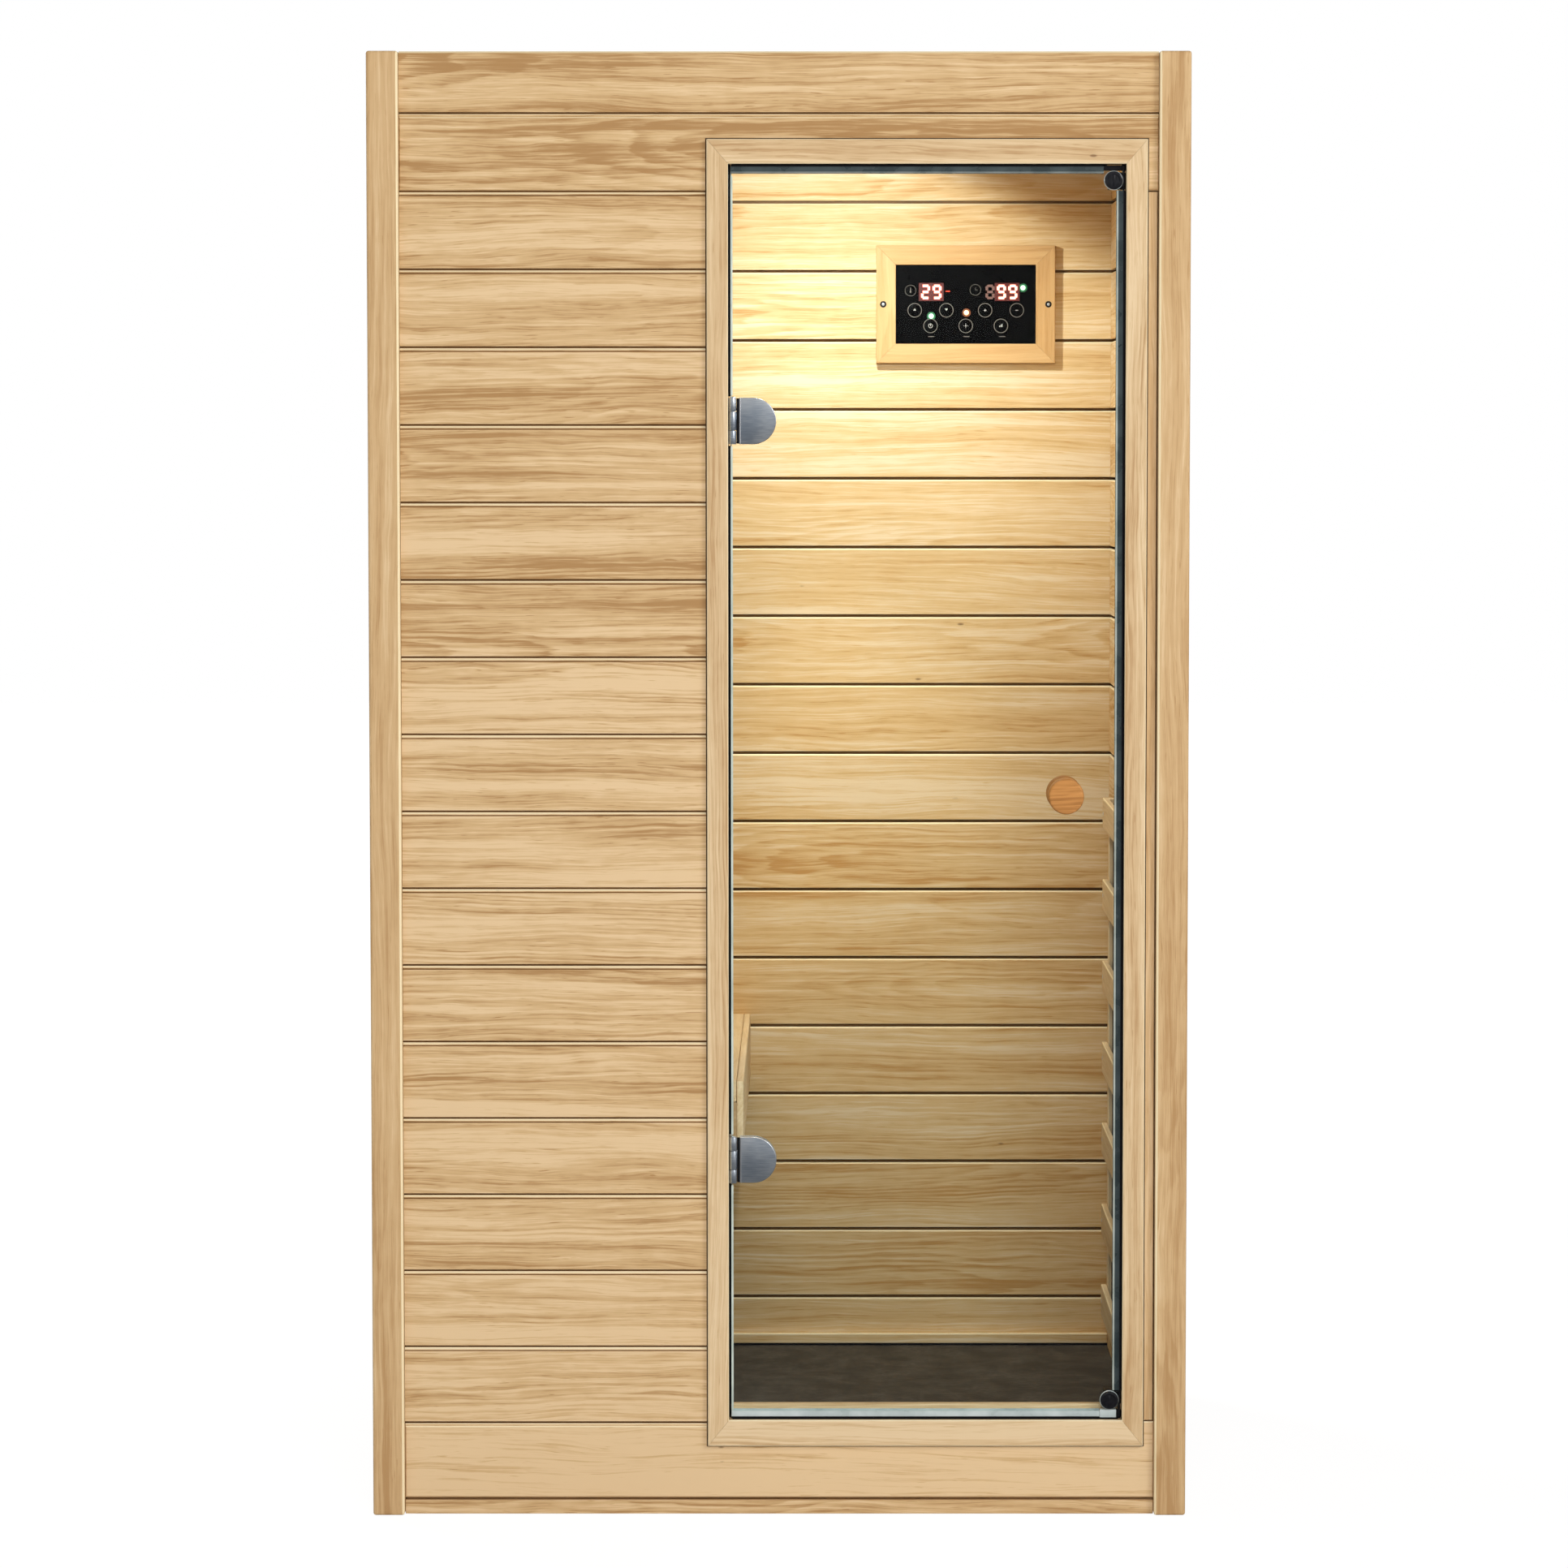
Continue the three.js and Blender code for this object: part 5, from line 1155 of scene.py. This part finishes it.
KEY_MARKS = {
    1: [(0, 1.0, 2.4, 0.6), (0, 2.0, 1.2, 0.6), (0, 0.0, 3.6, 0.6)],
    2: [(0, 1.0, 2.4, 0.6), (0, 0.0, 1.2, 0.6), (0, 2.0, 3.6, 0.6)],
    3: [(0, 0, 3.8, 0.6), (0, 0, 0.6, 3.8)],
    4: [(0, 0, 3.8, 0.6)],
    5: [(0, 1.2, 0.6, 3.4)],
    6: [(0, 0, 1.6, 1.6), (0, 2.6, 0.5, 1.2), (0, -2.6, 0.5, 1.2), (2.6, 0, 1.2, 0.5), (-2.6, 0, 1.2, 0.5)],
    7: [(-1.8, -0.6, 0.7, 2.2), (0, 0, 0.7, 3.4), (1.8, 0.6, 0.7, 4.6)],
}


def make_keys():
    """Round keys with a printed ring and a plain mark each."""
    for number, marks in KEY_MARKS.items():
        low, high = box(f"control_key_{number}")
        centre = (low + high) / 2
        radius = (high.x - low.x) / 2
        bm = start_piece()
        add_rod(bm, (centre.x, high.y, centre.z), (centre.x, low.y, centre.z), radius, 48, 0.3 * MM)
        body = f"key_{number}"
        finish_piece(bm, f"key_cap_{number}", FACE_BLACK, body, [f"control_key_{number}"], 35)
        bm = start_piece()
        seat = Vector((centre.x, low.y - 0.005 * MM, centre.z))
        add_ring(bm, seat, KEY_RING_RADIUS, KEY_RING_WIDTH, PRINT_THICKNESS)
        finish_piece(bm, f"key_ring_{number}", PRINT_GREY, body)
        bm = start_piece()
        if number == 5:
            add_ring(bm, seat, 2.6 * MM, 0.5 * MM, PRINT_THICKNESS)
        for dx, dz, wide, tall in marks:
            spot = seat + Vector((dx * MM, 0, dz * MM))
            half = Vector((wide / 2 * MM, 0, tall / 2 * MM))
            add_block(bm, spot - half - Vector((0, PRINT_THICKNESS, 0)), spot + half, 0)
        finish_piece(bm, f"key_print_{number}", PRINT_WHITE, body)


# Glass door
def make_glass_pane():
    """The pane with its holes: ground edges, and a green tint where one looks into the edge."""
    node = frame["nodes"]["door_glass"]
    low, high = box("door_glass")
    bm = bmesh.new()
    bm.from_mesh(node.data)
    bmesh.ops.remove_doubles(bm, verts=bm.verts, dist=1e-6)
    bmesh.ops.dissolve_limit(bm, angle_limit=math.radians(1), verts=bm.verts, edges=bm.edges)

    def on_rim(edge):
        planes = 0
        for axis in range(3):
            for level in (low[axis], high[axis]):
                planes += all(abs(v.co[axis] - level) < 1e-5 for v in edge.verts)
        return planes >= 2

    soften(bm, [e for e in bm.edges if on_rim(e)], 1.4 * MM, 2)
    piece = finish_piece(bm, "glass_pane", GLASS, "door", ["door_glass"])
    piece.data.materials.append(GLASS_EDGE_AND_HIGHLIGHT)
    for face in piece.data.polygons:
        at_rim = min(face.center.x - low.x, high.x - face.center.x, face.center.z - low.z, high.z - face.center.z)
        face.material_index = int(abs(face.normal.y) < 0.95 and at_rim < 2 * MM)

    # A flat pale strip on the front face along the hinge edge: a painted highlight of the glass edge
    bm = start_piece()
    levels = [low.z + 3 * MM]
    for name in ("lower", "upper"):
        hinge_low, hinge_high = box(f"{name}_hinge_pin")
        levels += [hinge_low.z - 3 * MM, hinge_high.z + 3 * MM]
    levels.append(high.z - 12 * MM)
    for z0, z1 in zip(levels[::2], levels[1::2]):
        add_block(bm, (low.x + 0.2 * MM, low.y - 0.3 * MM, z0), (low.x + EDGE_STRIP, low.y - HAIRLINE, z1), 0.1 * MM)
    finish_piece(bm, "hinge_edge_strip", GLASS_EDGE_AND_HIGHLIGHT, "door")


def hinge_plate_outline(node):
    """Flat towards the hinge axis and round at the far end."""
    low, high = box(node)
    radius = (high.z - low.z) / 2
    centre_x, centre_z = high.x - radius, (low.z + high.z) / 2
    turns = [math.pi * (i / PLATE_ARC_STEPS - 0.5) for i in range(PLATE_ARC_STEPS + 1)]
    arc = [(centre_x + radius * math.cos(a), centre_z + radius * math.sin(a)) for a in turns]
    return [(low.x, low.z), *arc, (low.x, high.z)]


def make_hinge(name):
    axis_x, axis_y, _ = frame["joints"][0]["pos_m"]
    pin_low, pin_high = box(f"{name}_hinge_pin")
    back_low, back_high = box(f"{name}_hinge_back_plate")
    leaf_low, leaf_high = box(f"{name}_hinge_jamb_leaf")
    glass_low = box("door_glass")[0]
    outline = hinge_plate_outline(f"{name}_hinge_back_plate")
    mid = (pin_low.z + pin_high.z) / 2
    half = MIDDLE_KNUCKLE_HEIGHT / 2

    bm = start_piece()
    plate_back = glass_low.y - FIT
    add_plate(bm, outline, plate_back, plate_back - PLATE_THICKNESS, PLATE_EDGE, 3)
    add_rod(bm, (axis_x, axis_y, mid - half), (axis_x, axis_y, mid + half), KNUCKLE_RADIUS, 40, 0.4 * MM)
    add_block(bm, (axis_x + KNUCKLE_RADIUS * 0.5, plate_back - 2.6 * MM, mid - half),
              (back_low.x + MM, plate_back - PLATE_EDGE, mid + half), 0.3 * MM)
    plate = finish_piece(bm, f"{name}_plate_outside", STEEL, "door", [f"{name}_hinge_front_plate"], 35)
    # Painted highlight on the plate's eased rim
    plate.data.materials.append(STEEL_HIGHLIGHT)
    for face in plate.data.polygons:
        face.material_index = int(face.center.x > back_low.x + MM and 0.05 < -face.normal.y < 0.95)

    bm = start_piece()
    # A pale steel lip along the plate's hinge edge: a painted highlight
    lip_front = plate_back - PLATE_THICKNESS - 0.35 * MM
    add_block(bm, (back_low.x - 0.1 * MM, lip_front, back_low.z + 0.4 * MM),
              (back_low.x + 1.9 * MM, plate_back - 1.5 * MM, back_high.z - 0.4 * MM), 0.5 * MM)
    finish_piece(bm, f"{name}_plate_highlight_lip", STEEL_HIGHLIGHT, "door")

    # Black gasket between barrel and plate, whose black also paints the shade in the gap there
    bm = start_piece()
    add_block(bm, (axis_x + KNUCKLE_RADIUS + 0.2 * MM, plate_back - 3.4 * MM, back_low.z + 0.8 * MM),
              (back_low.x - 0.15 * MM, plate_back, back_high.z - 0.8 * MM), 0.2 * MM)
    finish_piece(bm, f"{name}_plate_gasket_and_shade", BLACK, "door")

    bm = start_piece()
    add_plate(bm, outline, back_low.y, back_high.y, PLATE_EDGE, 3)
    screw_x = (back_low.x + back_high.x) / 2
    for z in (mid - 15 * MM, mid + 15 * MM):
        add_screw(bm, Vector((screw_x, back_high.y, z)), Y_AXIS, X_AXIS)
    finish_piece(bm, f"{name}_plate_inside", STEEL, "door", [f"{name}_hinge_back_plate"], 35)

    bm = start_piece()
    leaf_x1 = leaf_low.x + LEAF_THICKNESS
    plate_front = axis_y + KNUCKLE_RADIUS + KNUCKLE_GAP
    add_block(bm, (leaf_low.x, plate_front, leaf_low.z), (leaf_x1, leaf_high.y, leaf_high.z), 0.4 * MM)
    for z0, z1 in ((leaf_low.z, mid - half - KNUCKLE_GAP), (mid + half + KNUCKLE_GAP, leaf_high.z)):
        add_rod(bm, (axis_x, axis_y, z0), (axis_x, axis_y, z1), KNUCKLE_RADIUS, 40, 0.4 * MM)
        add_block(bm, (leaf_low.x, axis_y, z0 + 0.2 * MM), (leaf_x1, plate_front + MM, z1 - 0.2 * MM), 0.3 * MM)
    for z in (mid - 20 * MM, mid, mid + 20 * MM):
        add_screw(bm, Vector((leaf_x1, leaf_high.y - 10 * MM, z)), X_AXIS, Z_AXIS)
    finish_piece(bm, f"{name}_leaf", STEEL, "cabin", [f"{name}_hinge_jamb_leaf"], 35)

    bm = start_piece()
    radius = (pin_high.x - pin_low.x) / 2
    add_rod(bm, (axis_x, axis_y, pin_low.z), (axis_x, axis_y, pin_high.z + 0.8 * MM), radius, 32, 0.3 * MM)
    add_turned(bm, [(0, 0.1 * MM), (KNUCKLE_RADIUS * 0.8, 0.1 * MM), (KNUCKLE_RADIUS * 0.8, 0.8 * MM),
                    (KNUCKLE_RADIUS * 0.6, 1.3 * MM), (0, 1.3 * MM)], (axis_x, axis_y, pin_high.z), Z_AXIS, 32)
    finish_piece(bm, f"{name}_pin", STEEL, "cabin", [f"{name}_hinge_pin"], 35)


def make_knobs():
    """Turned timber knobs with rounded rims, on both faces of the glass."""
    for node, axis in (("outer_knob", -Y_AXIS), ("inner_knob", Y_AXIS)):
        low, high = box(node)
        radius = (high.x - low.x) / 2
        length = high.y - low.y
        seat = Vector(((low.x + high.x) / 2, high.y if axis.y < 0 else low.y, (low.z + high.z) / 2))
        rim = 3.2 * MM
        turns = [i * math.pi / 12 for i in range(7)]
        nose = [(radius - rim * (1 - math.cos(a)), length - rim * (1 - math.sin(a))) for a in turns]
        waist = [(0, 0), (radius * 0.93, 0), (radius * 0.965, 1.2 * MM), (radius, 5 * MM)]
        bm = start_piece()
        add_turned(bm, [*waist, *nose, (0, length)], seat, axis, 64)
        lay_grain(bm, X_AXIS, axis, random.Random("knob 7"))
        finish_piece(bm, f"turned_{node}", KNOB, "door", [node], 40)


# Width of the pale collar round each catch, whose pale colour paints a rim highlight
HIGHLIGHT_COLLAR = 0.8 * MM


def make_catches():
    """Round black strikers through the glass and the magnets behind them."""
    for place in ("top", "bottom"):
        low, high = box(f"{place}_striker")
        radius = (high.x - low.x) / 2
        glass_low, glass_high = box("door_glass")
        seat = Vector(((low.x + high.x) / 2, glass_low.y - FIT, (low.z + high.z) / 2))
        depth = seat.y - low.y
        bm = start_piece()
        cap = radius - HIGHLIGHT_COLLAR
        profile = [(0, 0), (cap, 0), (cap, depth - 1.2 * MM), (cap - 0.5 * MM, depth - 0.35 * MM),
                   (cap - 1.4 * MM, depth), (cap * 0.68, depth), (cap * 0.62, depth - 0.8 * MM),
                   (0, depth - 0.8 * MM)]
        add_turned(bm, profile, seat, -Y_AXIS, 48)
        bar = Vector((1.4 * MM, 0, radius * 0.55))
        face = seat - Y_AXIS * (depth - 0.8 * MM)
        add_block(bm, face - bar - Y_AXIS * 0.8 * MM, face + bar, 0.3 * MM)
        back = Vector((seat.x, glass_high.y + FIT, seat.z))
        back_depth = high.y - back.y
        add_turned(bm, [(0, 0), (9 * MM, 0), (9 * MM, back_depth - 0.6 * MM), (8.2 * MM, back_depth), (0, back_depth)],
                   back, Y_AXIS, 40)
        add_rod(bm, seat, back, 4 * MM, 24)
        finish_piece(bm, f"{place}_catch", CATCH_BLACK, "door", [f"{place}_striker"], 35)

        # Pale collar round the catch: a washer whose pale colour paints the rim highlight
        bm = start_piece()
        collar = [(cap + 0.05 * MM, 0), (cap + 0.05 * MM, 2.2 * MM), (radius - 0.4 * MM, 1.9 * MM), (radius, 1.2 * MM),
                  (radius, 0), (cap + 0.05 * MM, 0)]
        add_turned(bm, collar, seat, -Y_AXIS, 48)
        finish_piece(bm, f"{place}_catch_collar_highlight", SEAL_LIGHT, "door", smooth_angle=35)

        bm = start_piece()
        outer_z = glass_high.z + 1.2 * MM if place == "top" else glass_low.z - 1.2 * MM
        inner_z = high.z + FIT if place == "top" else low.z - FIT
        clip_y = (glass_low.y - 1.4 * MM, glass_high.y + 1.4 * MM)
        clip_right = glass_high.x + 1.2 * MM
        z0, z1 = sorted((inner_z, outer_z))
        add_block(bm, (low.x, clip_y[0], z0), (clip_right - 5 * MM, clip_y[1], z1), 0.5 * MM)
        # At the foot the clip is in the paler seal copy: painted light
        finish_piece(bm, f"{place}_corner_clip", BLACK if place == "top" else SEAL_LIGHT, "door")
        bm = start_piece()
        add_block(bm, (clip_right - 4.9 * MM, clip_y[0], z0), (clip_right, clip_y[1], z1), 0.5 * MM)
        z0, z1 = sorted((inner_z, seat.z - radius if place == "top" else seat.z + radius))
        add_block(bm, (glass_high.x - 1.6 * MM, clip_y[0], z0), (clip_right, clip_y[1], z1), 0.5 * MM)
        finish_piece(bm, f"{place}_edge_clip", BLACK, "door")

        low, high = box(f"{place}_magnet")
        bm = start_piece()
        add_block(bm, low, high, 1.2 * MM, 3)
        finish_piece(bm, f"{place}_catch_magnet", BLACK, "cabin", [f"{place}_magnet"])


# Lamp and roof fittings
def make_lamp():
    low, high = box("lamp_bezel")
    lens_low, lens_high = box("lamp_lens")
    centre = (low + high) / 2
    outer = (high.x - low.x) / 2
    window = (lens_high.x - lens_low.x) / 2 - 3 * MM
    depth = high.z - low.z
    seat = Vector((centre.x, centre.y, high.z))
    bm = start_piece()
    profile = [(window, depth - 3 * MM), (window, depth - 0.6 * MM), (window + 0.6 * MM, depth), (outer - 4 * MM, depth),
               (outer - 1.5 * MM, depth - 1.2 * MM), (outer, depth - 4 * MM), (outer, 0), (window + 3.3 * MM, 0),
               (window + 3.3 * MM, depth - 3 * MM), (window, depth - 3 * MM)]
    add_turned(bm, profile, seat, -Z_AXIS, 64)
    finish_piece(bm, "lamp_ring", STEEL, "cabin", ["lamp_bezel"], 35)
    bm = start_piece()
    lens_depth = high.z - lens_low.z
    radius = (lens_high.x - lens_low.x) / 2
    crown = [(radius * math.cos(a), lens_depth - 1.2 * MM + 1.2 * MM * math.sin(a)) for a in (0.0, 0.5, 0.9, 1.3)]
    add_turned(bm, [(0, high.z - lens_high.z), (radius, high.z - lens_high.z), *crown, (0, lens_depth)], seat, -Z_AXIS, 64)
    finish_piece(bm, "lamp_cover", LAMP_GLOW, "cabin", ["lamp_lens"], 50)


def make_power_fittings():
    low, high = box("cord_gland")
    centre = (low + high) / 2
    roof_top = box("roof_cover")[1].z
    radius = (high.x - low.x) / 2
    bm = start_piece()
    add_rod(bm, (centre.x, centre.y, low.z), (centre.x, centre.y, roof_top), 8.4 * MM, 40)
    add_rod(bm, (centre.x, centre.y, roof_top + 0.2 * MM), (centre.x, centre.y, roof_top + 3.4 * MM), radius, 6, 0.5 * MM)
    profile = [(5 * MM, 5 * MM), (5 * MM, 8.2 * MM), (6 * MM, 8.6 * MM), (8 * MM, 7.6 * MM), (9.4 * MM, 5.4 * MM),
               (9.8 * MM, 3.2 * MM), (0, 3.2 * MM), (0, 5 * MM), (5 * MM, 5 * MM)]
    add_turned(bm, profile, (centre.x, centre.y, roof_top), Z_AXIS, 40)
    finish_piece(bm, "gland_nut", BLACK, "cabin", ["cord_gland"], 30)
    bm = start_piece()
    add_block(bm, *box("power_box"), 2 * MM, 3)
    finish_piece(bm, "supply_box", STEEL_PAINT, "cabin", ["power_box"])
    frame["nodes"]["knob_bolt"].data.materials.clear()
    frame["nodes"]["knob_bolt"].data.materials.append(STEEL)


def make_seal(node, out, along):
    """A channel over an edge of the glass, with a black bulb and a pale lip on its front leg; the foot's channel is a
    paler copy and the top's lip a darker copy of the seal, painted light and shade.
    """
    low, high = box(node)
    inner, outer = sorted((low.dot(out), high.dot(out)))
    front, back = low.y, high.y
    at_foot = node == "seal_bottom"
    leg = inner + (1.5 * MM if at_foot else 0)
    bulb = outer - SEAL_BULB
    step = front + SEAL_WALL / 2

    def draw(name, material, section, nodes=()):
        bm = start_piece()
        points = [along * low.dot(along) + out * u + Y_AXIS * y for u, y in section]
        draw_out(bm, points, along * (high - low).dot(along))
        finish_piece(bm, name, material, "door", nodes)

    web = outer - SEAL_WALL
    # The foot's channel is in the paler copy: painted light
    draw(f"{node}_channel", SEAL_LIGHT if at_foot else SLATE_SEAL,
         [(leg, front), (bulb, front), (bulb, step), (outer, step), (outer, back), (inner, back),
          (inner, back - SEAL_WALL), (web, back - SEAL_WALL), (web, front + SEAL_WALL), (leg, front + SEAL_WALL)],
         [node])
    # The black bulb also paints the shade in the gap beside the seal
    draw(f"{node}_bulb", BLACK, [(bulb + HAIRLINE, front), (outer, front), (outer, step - HAIRLINE),
                                 (bulb + HAIRLINE, step - HAIRLINE)])
    if not at_foot:
        lip = front - 0.25 * MM
        # The top's lip is the darker copy: painted shade
        draw(f"{node}_lip", TOP_LIP_SHADE if out.z else SIDE_LIP, [(leg, lip), (leg + SEAL_LIP, lip), (leg + SEAL_LIP, front - HAIRLINE),
                                        (leg, front - HAIRLINE)])


# Studio
def make_camera():
    data = bpy.data.cameras.new("photo_camera")
    data.lens = CAMERA_LENS
    data.shift_x, data.shift_y = CAMERA_SHIFT
    data.clip_end = 100
    camera = bpy.data.objects.new("photo_camera", data)
    posts_front = box("left_front_post")[0].y
    camera.location = (CAMERA_SIDE, posts_front - CAMERA_FROM_POSTS, CAMERA_HEIGHT)
    camera.rotation_euler = (math.pi / 2 - CAMERA_TILT, 0, 0)
    bpy.context.scene.collection.objects.link(camera)
    bpy.context.scene.camera = camera


def add_light(name, kind, energy, colour, place, aim, **settings):
    data = bpy.data.lights.new(name, kind)
    data.energy = energy
    data.color = colour
    for key, value in settings.items():
        setattr(data, key, value)
    light = bpy.data.objects.new(name, data)
    light.location = place
    light.rotation_euler = (Vector(aim) - Vector(place)).to_track_quat("-Z", "Y").to_euler()
    bpy.context.scene.collection.objects.link(light)
    return light


def make_studio():
    """White floor and backdrop, soft light from the upper right front, and the cabin's own warm lamp."""
    bm = bmesh.new()
    bmesh.ops.create_grid(bm, x_segments=1, y_segments=1, size=20)
    mesh = bpy.data.meshes.new("studio_floor")
    bm.to_mesh(mesh)
    bm.free()
    floor = bpy.data.objects.new("studio_floor", mesh)
    bpy.context.scene.collection.objects.link(floor)
    material, tree, shader = start_material("floor_white")
    mottle = noise(tree, object_place(tree, (3, 3, 3)), 2.0)
    tree.links.new(mixed(tree, mottle, (0.85, 0.85, 0.85, 1), (0.87, 0.87, 0.87, 1)), shader.inputs["Base Color"])
    shader.inputs["Roughness"].default_value = 0.9
    ways = new_node(tree, "ShaderNodeLightPath").outputs
    seen = calc(tree, "MAXIMUM", ways["Is Camera Ray"], ways["Is Transmission Ray"])
    reach = new_node(tree, "ShaderNodeVectorMath", {0: object_place(tree, (1, 1, 1))}, operation="LENGTH").outputs["Value"]
    whiter = spread(tree, reach, 2.0, 7.0, NEAR_FLOOR_WHITE, FAR_FLOOR_WHITE)
    white = new_node(tree, "ShaderNodeEmission", {"Color": (1, 1, 1, 1), "Strength": whiter})
    shaded = new_node(tree, "ShaderNodeMixShader", {0: calc(tree, "MULTIPLY", seen, FLOOR_SHARE),
                                                    1: shader.outputs[0], 2: white.outputs[0]})
    dim = new_node(tree, "ShaderNodeEmission", {"Color": (1, 1, 1, 1), "Strength": MIRRORED_FLOOR})
    mirrored = calc(tree, "GREATER_THAN", ways["Is Glossy Ray"], ways["Is Transmission Ray"])
    both = new_node(tree, "ShaderNodeMixShader", {0: mirrored, 1: shaded.outputs[0], 2: dim.outputs[0]})
    tree.links.new(both.outputs[0], tree.nodes["Material Output"].inputs["Surface"])
    floor.data.materials.append(material)

    world = bpy.data.worlds.new("studio")
    bpy.context.scene.world = world
    world.use_nodes = True
    tree = world.node_tree
    ways = new_node(tree, "ShaderNodeLightPath").outputs
    seen = calc(tree, "MAXIMUM", ways["Is Camera Ray"], ways["Is Transmission Ray"])
    lit = calc(tree, "MULTIPLY_ADD", ways["Is Glossy Ray"], MIRRORED_SKY - SKY_LIGHT, SKY_LIGHT)
    strength = calc(tree, "MAXIMUM", seen, lit)
    sky = tree.nodes["Background"]
    sky.inputs["Color"].default_value = (1, 1, 1, 1)
    tree.links.new(strength, sky.inputs["Strength"])

    add_light("key_light", "AREA", KEY_POWER, (1, 0.985, 0.96), (4.6, -5.2, 4.0), (0, 0, 1.0), shape="RECTANGLE",
              size=2.0, size_y=2.0)
    fill = add_light("front_fill", "AREA", FILL_POWER, (1, 1, 1), (0.5, -6.0, 2.5), (0.1, 0.3, 0.7),
                     shape="RECTANGLE", size=2.2, size_y=1.0)
    fill.visible_glossy = False
    fill.visible_transmission = False
    add_light("back_fill", "AREA", BACK_FILL_POWER, (1, 1, 1), (-4.2, 5.2, 3.8), (0, 0, 1.0), shape="RECTANGLE",
              size=2.5, size_y=2.5)
    lamp = middle("lamp_lens")
    start = lamp - Z_AXIS * 14 * MM
    add_light("cabin_lamp", "SPOT", LAMP_POWER, LAMP_COLOUR, start, start + Vector(LAMP_AIM), spot_size=LAMP_SPREAD,
              spot_blend=0.24, shadow_soft_size=8 * MM)
    add_light("cabin_lamp_beam", "SPOT", LAMP_BEAM_POWER, BEAM_COLOUR, start, start + Vector(BEAM_AIM),
              spot_size=BEAM_SPREAD, spot_blend=1.0, shadow_soft_size=20 * MM)
    add_light("cabin_lamp_disc", "AREA", LAMP_DISC_POWER, LAMP_COLOUR, start, start - Z_AXIS, shape="DISK",
              size=60 * MM)


bpy.context.scene.view_settings.view_transform = "Standard"
make_camera()
make_front_cladding()
make_side_cladding("left")
make_side_cladding("right")
make_rear_cladding()
make_linings()
make_front_lining()
make_ceiling()
make_posts()
make_casing()
make_door_frame()
make_doorway_gasket()
make_floor()
make_roof()
make_heater("right", 1)
make_heater("back", -1)
make_bench()
make_control_panel()
make_glass_pane()
make_hinge("upper")
make_hinge("lower")
make_knobs()
make_catches()
make_lamp()
make_power_fittings()
make_seal("seal_side", X_AXIS, Z_AXIS)
make_seal("seal_top", Z_AXIS, X_AXIS)
make_seal("seal_bottom", -Z_AXIS, X_AXIS)
make_studio()
